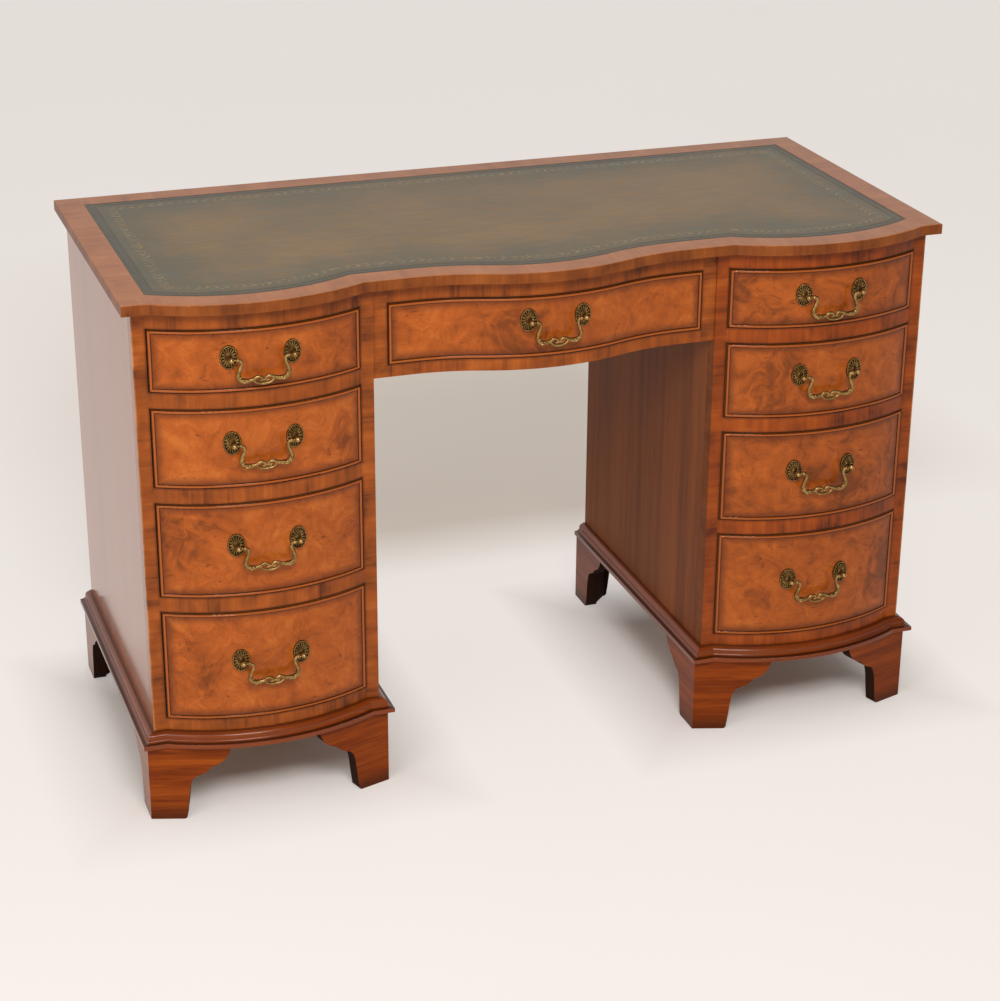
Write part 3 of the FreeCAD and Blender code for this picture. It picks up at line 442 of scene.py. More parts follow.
bpy.ops.object.mode_set(mode="EDIT")
bpy.ops.mesh.select_all(action="SELECT")
bpy.ops.mesh.remove_doubles(threshold=0.01 * mm)
bpy.ops.object.mode_set(mode="OBJECT")
pick_faces(leather, lambda face: face.normal.z < 0.9)
bpy.ops.mesh.delete(type="FACE")
bpy.ops.mesh.select_all(action="SELECT")
bpy.ops.mesh.dissolve_limited(angle_limit=0.002)
bpy.ops.object.mode_set(mode="OBJECT")
rim = [leather.data.vertices[i].co.copy() for i in leather.data.polygons[0].vertices]
# Each step is a distance inwards and a rise, in millimetres: a fall and then a rise make a blind line
tool_steps = [
    (1.2, 0.5), (2.0, 0.0), (0.5, -0.35), (0.5, 0.35), (8.6, 0.0), (0.5, -0.35), (0.5, 0.35),
    (2.6, 0.0), (0.4, -0.2), (0.4, 0.2),
]
for vertex in leather.data.vertices:
    vertex.co.z -= 0.5 * mm
pick_faces(leather, lambda face: True)
for inwards, rise in tool_steps:
    bpy.ops.mesh.inset(thickness=inwards * mm, depth=rise * mm)
# The middle is cut into small squares, so that the border's pattern can be laid along its edges
low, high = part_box("leather_writing_surface")
square = 11 * mm
bpy.ops.mesh.hide(unselected=True)
for axis, direction in ((0, (1, 0, 0)), (1, (0, 1, 0))):
    for step in range(1, int((high[axis] - low[axis]) / square) + 1):
        cut_at = [0.0, 0.0, 0.0]
        cut_at[axis] = low[axis] + step * square
        bpy.ops.mesh.select_all(action="SELECT")
        bpy.ops.mesh.bisect(plane_co=cut_at, plane_no=direction)
bpy.ops.mesh.reveal()
bpy.ops.object.mode_set(mode="OBJECT")
skin = leather.modifiers.new("skin", "SOLIDIFY")
skin.thickness = 0.9 * mm
skin.offset = -1.0
bpy.ops.object.modifier_apply(modifier="skin")


def along_rim(point):
    """How far round the rim the nearest place to a point is, and how far in from the rim the point lies."""
    best = (1e9, 0.0)
    walked = 0.0
    for start, end in zip(rim, rim[1:] + rim[:1]):
        run = (end - start).xy
        part = max(0.0, min(1.0, (point - start).xy.dot(run) / run.length_squared))
        best = min(best, ((point.xy - start.xy - run * part).length, walked + part * run.length))
        walked += run.length
    return best[1], best[0]


rim_length = sum((b - a).xy.length for a, b in zip(rim, rim[1:] + rim[:1]))
found = [along_rim(v.co) for v in leather.data.vertices]
border_map = leather.data.uv_layers.new(name="border")
for face in leather.data.polygons:
    walked = [found[i][0] for i in face.vertices]
    wraps = max(walked) - min(walked) > rim_length / 2
    for loop, corner in zip(face.loop_indices, face.vertices):
        u, v = found[corner]
        if wraps and u < rim_length / 2:
            u += rim_length
        border_map.data[loop].uv = (u, v)

# Aniline-dyed hide, antiqued by rubbing: green at the edges, brown where it has worn, with a low sheen
finish, add, place = new_finish("antiqued_hide")
at = place["Object"]
border = add("UVMap", {}, uv_map="border")
edge = add("SeparateXYZ", {"Vector": border}).outputs
clouds = add("TexNoise", {"Vector": at, "Scale": 1 / (150 * mm), "Detail": 3.0, "Roughness": 0.55})
rubbed = add("TexNoise", {"Vector": at, "Scale": 1 / (28 * mm), "Detail": 4.0, "Roughness": 0.6})
pores = add("TexVoronoi", {"Vector": at, "Scale": 1 / (1.3 * mm)})
inner = add("MapRange", {
    "Value": edge["Y"], "From Min": 20 * mm, "From Max": 150 * mm, "To Min": 0.2, "To Max": 0.85,
}, interpolation_type="SMOOTHSTEP")
mottle = add("Mix", {0: 0.45, 2: clouds, 3: rubbed})
spread = add("MapRange", {
    "Value": mottle, "From Min": 0.32, "From Max": 0.68, "To Min": -0.45, "To Max": 0.45,
})
worn = add("Math", {0: inner, 1: spread}, operation="ADD")
hide_tone = add("ValToRGB", {"Fac": worn})
set_stops(hide_tone, [(0.0, "#50492b"), (0.35, "#62512c"), (0.7, "#755a2d"), (1.0, "#83622f")])
dark_band = add("MapRange", {
    "Value": edge["Y"], "From Min": 14 * mm, "From Max": 18 * mm, "To Min": 0.75, "To Max": 0.0,
})
# The dark band is stippled, as by a small ornament rolled in without gold
stipple = add("TexNoise", {"Vector": at, "Scale": 1 / (4.5 * mm), "Detail": 2.0, "Roughness": 0.7})
stippled = add("MapRange", {
    "Value": stipple, "From Min": 0.35, "From Max": 0.65, "To Min": 0.35, "To Max": 1.0,
})
inked = add("Math", {0: dark_band, 1: stippled}, operation="MULTIPLY")
# Rubbing went to and fro along the desk, so the antiquing lies in short streaks
lengthwise = add("Mapping", {"Vector": at, "Scale": (0.13, 1.0, 1.0)})
strokes = add("TexNoise", {"Vector": lengthwise, "Scale": 1 / (6 * mm), "Detail": 5.0, "Roughness": 0.65})
streaked = add("MapRange", {
    "Value": strokes, "From Min": 0.3, "From Max": 0.7, "To Min": 0.84, "To Max": 1.14,
})
stroked = add("VectorMath", {0: hide_tone, "Scale": streaked}, operation="SCALE")
banded = add("Mix", {0: inked, 6: stroked, 7: linear("#2a261d")}, data_type="RGBA")
# Gold border: a thin line, then leaves that meet in pairs, one pair to every 14 mm, rubbed away in places
leaf_pitch = 14 * mm
gold_line = 17.2 * mm
stem_line = 35 * mm
leaf_reach = 7.5 * mm
outwards = distance_from(add, edge["Y"], stem_line)
reach = add("Math", {0: outwards, 1: 1 / leaf_reach}, operation="MULTIPLY")
# The roll slipped a little as it went, so the leaves aren't quite evenly spaced
slip = add("TexNoise", {"Vector": at, "Scale": 1 / (21 * mm), "Detail": 2.0})
slipped = add("Math", {0: slip, 1: 26 * mm, 2: edge["X"]}, operation="MULTIPLY_ADD")
beat = add("Math", {0: slipped, 1: 1 / leaf_pitch}, operation="MULTIPLY")
swept = add("Math", {0: reach, 1: 0.55, 2: beat}, operation="MULTIPLY_ADD")
turn = add("Math", {0: swept, 1: 0.5}, operation="PINGPONG")
leaf = add("MapRange", {
    "Value": turn, "From Min": 0.10, "From Max": 0.24, "To Min": 1.0, "To Max": 0.0,
}, interpolation_type="SMOOTHSTEP")
tip = add("MapRange", {
    "Value": reach, "From Min": 0.85, "From Max": 1.05, "To Min": 1.0, "To Max": 0.0,
}, interpolation_type="SMOOTHSTEP")
leaves = add("Math", {0: leaf, 1: tip}, operation="MULTIPLY")
line_far = distance_from(add, edge["Y"], gold_line)
line = add("MapRange", {
    "Value": line_far, "From Min": 0.4 * mm, "From Max": 1.0 * mm, "To Min": 0.25, "To Max": 0.0,
})
drawn = add("Math", {0: leaves, 1: line}, operation="MAXIMUM")
lost = add("TexNoise", {"Vector": at, "Scale": 1 / (9 * mm), "Detail": 4.0, "Roughness": 0.7})
kept = add("MapRange", {"Value": lost, "From Min": 0.38, "From Max": 0.64, "To Min": 0.04, "To Max": 0.55})
gold = add("Math", {0: drawn, 1: kept}, operation="MULTIPLY")
gilded = add("Mix", {0: gold, 6: banded, 7: linear("#b59258")}, data_type="RGBA")
grain_height = add("Mix", {0: 0.5, 2: pores, 3: rubbed})
crease = add("Bump", {"Strength": 0.35, "Distance": 0.25 * mm, "Height": grain_height})
sheen = add("MapRange", {"Value": rubbed, "To Min": 0.36, "To Max": 0.52})
surface = add("BsdfPrincipled", {"Base Color": gilded, "Roughness": sheen, "IOR": 1.5, "Normal": crease})
add("OutputMaterial", {"Surface": surface})
leather.data.materials.clear()
leather.data.materials.append(finish)
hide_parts("leather_writing_surface")
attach(leather, "carcase")

# Fixing screws
# Countersunk steel wood screws, driven up through the kickers into the top.
# They are hidden under the desk, and their bare steel is finely scratched.
finish, add, place = new_finish("plain_steel")
scratches = add("TexNoise", {"Vector": place["Object"], "Scale": 1 / (1.5 * mm), "Detail": 2.0})
dulled = add("MapRange", {"Value": scratches, "To Min": 0.3, "To Max": 0.55})
steel_tone = add("ValToRGB", {"Fac": scratches})
set_stops(steel_tone, [(0.3, "#77746f"), (0.7, "#a3a09a")])
surface = add("BsdfPrincipled", {"Base Color": steel_tone, "Metallic": 1.0, "Roughness": dulled})
add("OutputMaterial", {"Surface": surface})
nodes["top_fixing_screws"].data.materials[0] = finish

# Drawer boxes
# Thin hardwood sides and backs, dovetailed to the front, with a bottom panel slid into grooves.
# The wood is planed and waxed, so it stays pale and dull.
drawers = [hand + tier + "_drawer" for hand in ("left_", "right_") for tier in tiers]
drawers.append("centre_drawer")
lining = straight_grain(
    "waxed_hardwood_lining", [(0.25, "#8a6238"), (0.5, "#a97d4c"), (0.75, "#bd935f")],
    fibre_width=3 * mm, band_width=30 * mm, stretch=24, run="y", shine=waxed, depth=0.15 * mm,
)
for drawer in drawers:
    nodes[drawer + "_box"].data.materials[0] = lining

# Drawer fronts
# Bowed cores faced with burr walnut veneer and edged with small rounded beads let into rebates.
# Every front is cut from another part of the burr, so the figure changes from drawer to drawer.
bead_width = 4.8 * mm
# Where in the burr each front is cut, which way it is turned, where it has a dark smudge (how far right of
# the middle, how far up, and how far it spreads, in millimetres), and how much darker its leaf is: its own
# tone, and on the right pedestal also painted shade
cuts = [
    (0.0, 25, (125, 5, 50), -0.01), (1.7, -30, (120, -10, 50), -0.045), (3.1, 60, (-105, 10, 80), -0.005),
    (4.4, 15, (-115, -5, 95), -0.015), (6.2, 40, (-120, -5, 55), 0.058), (7.9, -55, (-75, -5, 70), 0.015),
    (9.3, 20, (60, -25, 60), 0.06), (11.1, 70, (135, 0, 75), 0.02), (13.4, -10, (-60, -12, 80), -0.005),
]


def burr_front(name, low, high, shift, turned, smudge, darker_tone_and_shade):
    """Burr walnut: clouded orange and brown, wavering growth lines, hair lines, flecks and pin knots."""
    finish, add, place = new_finish(name)
    centre = (low + high) / 2
    half = (high - low) / 2
    local = add("Mapping", {"Vector": place["Object"], "Location": -centre})
    where = add("SeparateXYZ", {"Vector": local}).outputs
    burr = add("Mapping", {
        "Vector": local, "Location": (shift, shift * 0.3, -shift),
        "Rotation": (0.0, math.radians(turned), 0.0),
    })
    swirl = add("TexNoise", {"Vector": burr, "Scale": 1 / (75 * mm), "Detail": 2.0})
    bent = add("VectorMath", {
        0: swirl.outputs["Color"], 1: (95 * mm, 95 * mm, 95 * mm), 2: burr,
    }, operation="MULTIPLY_ADD")
    clouds = add("TexNoise", {"Vector": bent, "Scale": 1 / (56 * mm), "Detail": 4.0, "Roughness": 0.55})
    curls = add("TexNoise", {
        "Vector": bent, "Scale": 1 / (21 * mm), "Detail": 4.0, "Roughness": 0.6, "Distortion": 0.5,
    })
    figure = add("Mix", {0: 0.5, 2: clouds, 3: curls})
    sheet = add("CombineXYZ", {"X": where["X"], "Z": where["Z"]})
    off_smudge = add("VectorMath", {
        0: sheet, 1: (smudge[0] * mm, 0.0, smudge[1] * mm),
    }, operation="DISTANCE")
    ragged = add("Math", {0: curls, 1: 55 * mm, 2: off_smudge}, operation="MULTIPLY_ADD")
    darkened = add("MapRange", {
        "Value": ragged, "From Min": 27 * mm, "From Max": (27 + smudge[2]) * mm, "To Min": 0.13,
        "To Max": 0.0,
    }, interpolation_type="SMOOTHSTEP")
    smudged = add("Math", {0: figure, 1: darkened}, operation="SUBTRACT")
    # The leaf is darkened here: its own tone, and on the right pedestal also painted shade
    leaf_tone = add("Math", {0: smudged, 1: darker_tone_and_shade}, operation="SUBTRACT")
    tone = add("ValToRGB", {"Fac": leaf_tone})
    set_stops(tone, [(0.32, "#7e3d0f"), (0.43, "#a04e15"), (0.54, "#b2591b"), (0.66, "#c06826")])
    # Growth lines: contours of a slow field, drawn only in parts of the sheet
    field = add("TexNoise", {"Vector": bent, "Scale": 1 / (120 * mm), "Detail": 2.0, "Roughness": 0.4})
    counted = add("Math", {0: field, 1: 34.0}, operation="MULTIPLY")
    between = add("Math", {0: counted, 1: 0.5}, operation="PINGPONG")
    rings = add("MapRange", {
        "Value": between, "From Min": 0.0, "From Max": 0.24, "To Min": 1.0, "To Max": 0.0,
    })
    seen = add("TexNoise", {"Vector": burr, "Scale": 1 / (60 * mm), "Detail": 1.0})
    shown = add("MapRange", {
        "Value": seen, "From Min": 0.42, "From Max": 0.70, "To Min": 0.0, "To Max": 0.15,
    })
    growth = add("Math", {0: rings, 1: shown}, operation="MULTIPLY")
    lined = add("Mix", {0: growth, 6: tone, 7: linear("#6f3312")}, data_type="RGBA")
    # Hair lines: fine fibres that slant across the sheet
    slant = add("Mapping", {
        "Vector": bent, "Rotation": (0.0, math.radians(38), 0.0), "Scale": (1.0, 1.0, 0.09),
    })
    hair = add("TexNoise", {"Vector": slant, "Scale": 1 / (2.4 * mm), "Detail": 3.0})
    strands = add("MapRange", {
        "Value": hair, "From Min": 0.3, "From Max": 0.7, "To Min": 0.9, "To Max": 1.08,
    })
    stranded = add("VectorMath", {0: lined, "Scale": strands}, operation="SCALE")
    # Flecks and pin knots: short dark dashes in loose crowds, and small dark eyes, few and far between
    flecks = add("Mapping", {"Vector": local, "Location": (shift, 0, 0), "Scale": (0.3, 1, 1)})
    fleck = add("TexNoise", {"Vector": flecks, "Scale": 1 / (4 * mm), "Detail": 2.0})
    speck = add("MapRange", {"Value": fleck, "From Min": 0.62, "From Max": 0.72, "To Max": 0.6})
    crowd = add("MapRange", {"Value": seen, "From Min": 0.5, "From Max": 0.36})
    flecked = add("Math", {0: speck, 1: crowd}, operation="MULTIPLY")
    eyes = add("TexVoronoi", {"Vector": bent, "Scale": 1 / (26 * mm)})
    pick = add("SeparateXYZ", {"Vector": eyes.outputs["Color"]}).outputs
    chosen = add("Math", {0: pick["X"], 1: 0.80}, operation="GREATER_THAN")
    eye = add("MapRange", {
        "Value": eyes, "From Min": 0.03, "From Max": 0.13, "To Min": 0.75, "To Max": 0.0,
    })
    knot = add("Math", {0: eye, 1: chosen}, operation="MULTIPLY")
    marks = add("Math", {0: knot, 1: flecked}, operation="MAXIMUM")
    knotted = add("Mix", {0: marks, 6: stranded, 7: linear("#4a210d")}, data_type="RGBA")
    # Old polish gathers in the corner behind the bead, and the seam by the bead carries painted shade
    out_x = add("Math", {0: where["X"]}, operation="ABSOLUTE")
    out_z = add("Math", {0: where["Z"]}, operation="ABSOLUTE")
    from_end = add("Math", {0: half.x, 1: out_x}, operation="SUBTRACT")
    from_rail = add("Math", {0: half.z, 1: out_z}, operation="SUBTRACT")
    edge = add("Math", {0: from_end, 1: from_rail}, operation="MINIMUM")
    wander = add("Math", {0: clouds, 1: -9 * mm, 2: edge}, operation="MULTIPLY_ADD")
    gathered = add("MapRange", {
        "Value": wander, "From Min": -1.5 * mm, "From Max": 14 * mm, "To Min": 0.68, "To Max": 0.0,
    }, interpolation_type="SMOOTHSTEP")
    seam = add("MapRange", {
        "Value": edge, "From Min": bead_width + 0.4 * mm, "From Max": bead_width + 2.2 * mm, "To Min": 0.8,
        "To Max": 0.0,
    }, interpolation_type="SMOOTHSTEP")
    grime_and_seam_shade = add("Math", {0: gathered, 1: seam}, operation="MAXIMUM")
    grimy_shaded_tone = add("Mix", {0: grime_and_seam_shade, 6: knotted, 7: linear("#4d210b")}, data_type="RGBA")
    # The bead is paler along its crown, as worn polish and a painted highlight,
    # and darker on both flanks, as dirt and painted shade
    flank = distance_from(add, edge, bead_width / 2)
    crown_wear_and_highlight = add("MapRange", {
        "Value": flank, "From Min": 0.7 * mm, "From Max": 2.3 * mm, "To Min": 1.0, "To Max": 0.0,
    }, interpolation_type="SMOOTHSTEP")
    bead_tone = add("ValToRGB", {"Fac": crown_wear_and_highlight})
    set_stops(bead_tone, [(0.0, "#421c08"), (1.0, "#a9571f")])
    on_bead = add("Math", {0: edge, 1: bead_width}, operation="LESS_THAN")
    beaded = add("Mix", {0: on_bead, 6: grimy_shaded_tone, 7: bead_tone}, data_type="RGBA")
    # The edges of the core are stained and its back is bare timber
    facing = add("SeparateXYZ", {"Vector": place["Normal"]}).outputs
    forwards = add("Math", {0: facing["Y"]}, operation="ABSOLUTE")
    edgewise = add("Math", {0: forwards, 1: 0.1}, operation="LESS_THAN")
    edged = add("Mix", {0: edgewise, 6: beaded, 7: linear("#7a4a26")}, data_type="RGBA")
    behind = add("Math", {0: facing["Y"], 1: 0.5}, operation="GREATER_THAN")
    cored = add("Mix", {0: behind, 6: edged, 7: linear("#9a6f42")}, data_type="RGBA")
    # A thin clear coat gives the fronts a faint mirror, and dusting keeps the bead shinier still
    gloss = add("MapRange", {"Value": on_bead, "To Min": 0.4, "To Max": 0.22})
    mirror = {"under": gloss, "coat": 0.5, "top": 0.1, "index": 1.15}
    polish(add, cored, hair, 0.04 * mm, mirror)
    return finish


for drawer, (shift, turned, smudge, darker_tone_and_shade) in zip(drawers, cuts):
    low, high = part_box(drawer + "_front")
    veneer = burr_front("burr_walnut_" + drawer, low, high, shift, turned, smudge, darker_tone_and_shade)
    nodes[drawer + "_front"].data.materials[0] = veneer

# Rosettes and posts
# Cast brass: an oval plate with a beaded rim and a ring of petals, held on by the post that bears the bail.
# The post's threaded shank goes through the drawer front to a nut, and the hollows have gone dark with age.
rosette_half_high = 17.2 * mm
rosette_half_wide = 12.6 * mm
post_reach = 16 * mm
front_thickness = 24 * mm
ball_radius = 3.8 * mm
quarter_turn = math.pi / 2
full_turn = 2 * math.pi


def add_lump(at, radii, segments, rings):
    """Adds a stretched ball, in millimetres, and leaves only that selected. Gives its middle in metres."""
    bpy.ops.mesh.select_all(action="DESELECT")
    middle = [value * mm for value in at]
    bpy.ops.mesh.primitive_uv_sphere_add(segments=segments, ring_count=rings, radius=1.0, location=middle)
    bpy.ops.transform.resize(value=[radius * mm for radius in radii], center_override=middle)
    return middle


def add_turning(sides, profile):
    """Adds a turned shape to the mesh being edited: its profile is a list of places along Y and radii."""
    bpy.ops.mesh.select_all(action="DESELECT")
    along, radius = profile[0]
    bpy.ops.mesh.primitive_circle_add(
        vertices=sides, radius=radius * mm, fill_type="NGON", location=(0.0, along * mm, 0.0),
        rotation=(quarter_turn, 0.0, 0.0),
    )
    for after, wider in profile[1:]:
        bpy.ops.mesh.extrude_region_move(TRANSFORM_OT_translate={"value": (0.0, (after - along) * mm, 0.0)})
        grow = wider / radius
        bpy.ops.transform.resize(value=(grow, 1.0, grow), center_override=(0.0, after * mm, 0.0))
        along, radius = after, wider


def tidy_mesh():
    """Turns all faces of the mesh being edited outwards, shades it smooth and leaves edit mode."""
    bpy.ops.mesh.select_all(action="SELECT")
    bpy.ops.mesh.normals_make_consistent(inside=False)
    bpy.ops.object.mode_set(mode="OBJECT")
    bpy.ops.object.shade_smooth_by_angle(angle=math.radians(50))


def mark_wear_and_light(piece, amount):
    """Keeps how bright each point is marked: nought in the hollows, one on the high places, as wear.
    On the posts and bails the marks also hold painted light and shade.
    """
    marks = piece.data.attributes.new("rubbed", "FLOAT", "POINT")
    for vertex, mark in zip(piece.data.vertices, marks.data):
        mark.value = max(0.0, min(1.0, amount(vertex)))


def repeat_round(count):
    """Repeats what is selected in a full ring about the rosette's middle."""
    bpy.ops.mesh.spin(
        steps=count - 1, dupli=True, angle=full_turn * (1 - 1 / count), center=(0, 0, 0), axis=(0, 1, 0),
    )


bpy.ops.object.select_all(action="DESELECT")
bpy.ops.mesh.primitive_cylinder_add(
    vertices=48, radius=rosette_half_high, depth=1.4 * mm, location=(0.0, -0.7 * mm, 0.0),
    rotation=(quarter_turn, 0.0, 0.0),
)
rosette = bpy.context.object
rosette.name = "rosette"
bpy.ops.object.transform_apply(location=True, rotation=True, scale=True)
pick_faces(rosette, lambda face: face.normal.y < -0.9)
# Each step is a distance inwards and a rise, in millimetres
for inwards, rise in ((0.5, 0.5), (1.9, 0.0), (0.7, -0.9), (5.5, 0.2), (4.0, 1.4), (1.0, 0.4)):
    bpy.ops.mesh.inset(thickness=inwards * mm, depth=rise * mm)
# A ring of beads stands on the rim, and inside it are a ring of petals and a ring of their rolled tips
rim_beads = 34
petals = 16
add_lump((rosette_half_high / mm - 1.5, -1.9, 0.0), (1.25, 1.2, 1.3), 8, 5)
repeat_round(rim_beads)
add_lump((9.2, -1.3, 0.0), (4.7, 1.25, 1.65), 10, 6)
repeat_round(petals)
add_lump((12.7, -1.7, 0.0), (1.3, 1.0, 1.9), 8, 5)
repeat_round(petals)
bpy.ops.mesh.select_all(action="SELECT")
bpy.ops.transform.resize(value=(rosette_half_wide / rosette_half_high, 1.0, 1.0), center_override=(0, 0, 0))
tidy_mesh()
mark_wear_and_light(rosette, lambda vertex: (-vertex.co.y / mm - 1.0) / 2.1)

bpy.ops.object.select_all(action="DESELECT")
bpy.ops.mesh.primitive_uv_sphere_add(segments=18, ring_count=12, radius=ball_radius)
post = bpy.context.object
post.name = "post"
bpy.ops.object.mode_set(mode="EDIT")
add_turning(18, [(-3.1, 1.9), (-3.5, 1.9), (-4.1, 1.5), (-4.4, 0.7)])
seat = post_reach / mm
add_turning(18, [
    (seat + 0.6, 4.9), (seat - 2.6, 4.9), (seat - 3.4, 4.2), (seat - 4.2, 3.1), (9.0, 2.6), (6.0, 2.4),
    (4.4, 2.9), (3.6, 3.2), (2.6, 2.6),
])
inside = seat + front_thickness / mm
add_turning(14, [(seat, 2.0), (inside + 5.4, 2.0), (inside + 6.0, 1.5)])
add_turning(6, [(inside + 0.3, 3.7), (inside + 0.3, 4.1), (inside + 3.5, 4.1), (inside + 4.0, 3.6)])
tidy_mesh()
# The ball end is marked fully bright, as wear and a painted highlight
mark_wear_and_light(post, lambda vertex: 1.0 if vertex.co.y < 3 * mm else 0.45)

# Cast brass, browned and then rubbed: gold on the high places, dark brown in the hollows; on the posts
# and bails the marks also carry painted light and shade
brass, add, place = new_finish("antiqued_cast_brass")
wear_and_light = add("Attribute", {}, attribute_name="rubbed")
tarnish = add("TexNoise", {"Vector": place["Object"], "Scale": 1 / (5 * mm), "Detail": 3.0})
patchy = add("MapRange", {"Value": tarnish, "To Min": -0.42, "To Max": 0.42})
bright = add("Math", {0: wear_and_light.outputs["Fac"], 1: 0.8, 2: patchy}, operation="MULTIPLY_ADD")
brass_tone = add("ValToRGB", {"Fac": bright})
set_stops(brass_tone, [(0.05, "#372612"), (0.35, "#6e5028"), (0.65, "#9d7a45"), (0.95, "#cdaa6c")])
dull = add("MapRange", {"Value": bright, "To Min": 0.55, "To Max": 0.30})
pitted = add("Bump", {"Strength": 0.3, "Distance": 0.15 * mm, "Height": tarnish})
surface = add("BsdfPrincipled", {
    "Base Color": brass_tone, "Metallic": 0.9, "Roughness": dull, "Normal": pitted,
})
add("OutputMaterial", {"Surface": surface})


def copy_to(pattern, at, lean):
    """A copy of a casting with its own mesh, turned about Z and set in its place."""
    copy = bpy.data.objects.new("casting", pattern.data.copy())
    bpy.context.scene.collection.objects.link(copy)
    copy.data.transform(Matrix.Translation(at) @ Matrix.Rotation(lean, 4, "Z"))
    return copy


def join_pieces(castings, name):
    """Joins castings into one piece and gives it the brass finish."""
    bpy.ops.object.select_all(action="DESELECT")
    for casting in castings:
        casting.select_set(True)
    bpy.context.view_layer.objects.active = castings[0]
    bpy.ops.object.join()
    piece = castings[0]
    piece.name = name
    piece.data.name = name
    piece.data.materials.clear()
    piece.data.materials.append(brass)
    return piece


# The rosettes turn with the curve of the front, whose radius is a little smaller on the centre drawer
bow_radius = 318.5 * mm
swell_radius = 316.3 * mm
pivots = {joint["child"]: Vector(joint["pos_m"]) for joint in frame["joints"] if joint["type"] == "hinge"}
usual_post = 44 * mm
post_places = {drawer: usual_post for drawer in drawers}
post_places["centre_drawer"] = 40.5 * mm
for drawer in drawers:
    pivot = pivots[drawer + "_bail"]
    radius = swell_radius if drawer == "centre_drawer" else bow_radius
    post_x = post_places[drawer]
    castings = []
    for side in (-1, 1):
        at = pivot + Vector((side * post_x, 0.0, 0.0))
        castings.append(copy_to(post, at, 0.0))
        seat_at = at + Vector((0.0, post_reach, 0.0))
        castings.append(copy_to(rosette, seat_at, side * math.asin(post_x / radius)))
    mounts = join_pieces(castings, drawer + "_rosettes")
    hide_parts(drawer + "_handle_mounts")
    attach(mounts, drawer)
bpy.data.objects.remove(rosette)
bpy.data.objects.remove(post)

# Bails
# Swan-necked cast brass bars that hang from pins in the posts and swing up when pulled.
# Leaves wrap the lower corners, and two scrolls with a thin loop below them make the middle.
knuckle_x = 35.3


def add_rod(points, name):
    """A cast rod as a mesh: each point is a place across, a place up and a radius, in millimetres."""
    bpy.ops.object.select_all(action="DESELECT")
    bpy.ops.curve.primitive_bezier_curve_add()
    rod = bpy.context.object
    rod.name = name
    rod.data.bevel_depth = mm
    rod.data.bevel_resolution = 2
    rod.data.resolution_u = 5
    rod.data.use_fill_caps = True
    spline = rod.data.splines[0]
    spline.bezier_points.add(len(points) - 2)
    for knot, (across, up, radius) in zip(spline.bezier_points, points):
        knot.co = (across * mm, 0.0, up * mm)
        knot.radius = radius
        knot.handle_left_type = "AUTO"
        knot.handle_right_type = "AUTO"
    bpy.ops.object.convert(target="MESH")
    return bpy.context.object


arm = [
    (knuckle_x, 0.0, 2.7), (32.2, -0.9, 2.5), (30.4, -3.8, 2.4), (30.8, -8.0, 2.5), (32.8, -13.0, 2.7),
    (34.8, -18.5, 3.0), (35.2, -23.0, 3.4), (33.4, -27.4, 3.7), (29.4, -30.4, 3.8), (24.8, -31.2, 3.6),
    (19.6, -30.4, 3.2), (14.0, -29.2, 2.8),
]
scroll = [
    (14.4, -29.4, 2.5), (11.6, -27.2, 2.5), (8.2, -26.2, 2.4), (4.8, -26.8, 2.3), (2.6, -28.8, 2.1),
    (2.6, -31.0, 1.9), (4.6, -32.2, 1.8), (6.6, -31.2, 1.5),
]
loop = [
    (14.0, -30.6, 1.9), (11.2, -33.9, 1.9), (6.4, -36.0, 1.9), (0.0, -36.7, 2.0),
    (-6.4, -36.0, 1.9), (-11.2, -33.9, 1.9), (-14.0, -30.6, 1.9),
]
rods = [add_rod(loop, "loop")]
for side in (-1, 1):
    rods.append(add_rod([(side * across, up, radius) for across, up, radius in arm], "arm"))
    rods.append(add_rod([(side * across, up, radius) for across, up, radius in scroll], "scroll"))
bpy.ops.object.select_all(action="DESELECT")
for rod in rods:
    rod.select_set(True)
bpy.context.view_layer.objects.active = rods[0]
bpy.ops.object.join()
bail = rods[0]
bpy.ops.object.mode_set(mode="EDIT")
# Each arm has a knuckle, a pin, a collar where the scroll starts, and half of the boss between the scrolls
for side in (-1, 1):
    add_lump((side * knuckle_x, 0.0, 0.0), (3.1, 3.2, 3.2), 14, 10)
    add_lump((side * 38.6, 0.0, 0.0), (3.4, 1.3, 1.3), 10, 6)
    add_lump((side * 14.6, 0.0, -29.6), (1.5, 3.4, 3.5), 12, 8)
    add_lump((side * 0.9, 0.0, -31.2), (1.6, 1.8, 1.9), 10, 6)
    # Leaves round the lower corner: each stands off the bar to one side of it and points along it
    for across, up, tilt, length, off_x, off_z in (
        (35.8, -22.5, 96, 3.6, 0.0, 0.0), (34.0, -26.0, 120, 3.4, -1.0, 1.0),
        (31.0, -29.6, 150, 3.6, -0.6, 0.6), (28.0, -32.2, 176, 3.8, 0.2, -1.4),
        (25.0, -30.0, 190, 3.2, 0.0, 1.6), (22.0, -31.4, 202, 3.4, 0.3, -1.3),
    ):
        leaf_x = side * (across - 0.6 + 0.2 * off_x)
        leaf_z = up + 0.4 + 0.2 * off_z
        turn = side * math.radians(tilt)
        for depth in (-1, 1):
            middle = add_lump((leaf_x, depth * 2.1, leaf_z), (length, 2.1, 1.7), 10, 6)
            bpy.ops.transform.rotate(value=turn, orient_axis="Y", center_override=middle)
tidy_mesh()
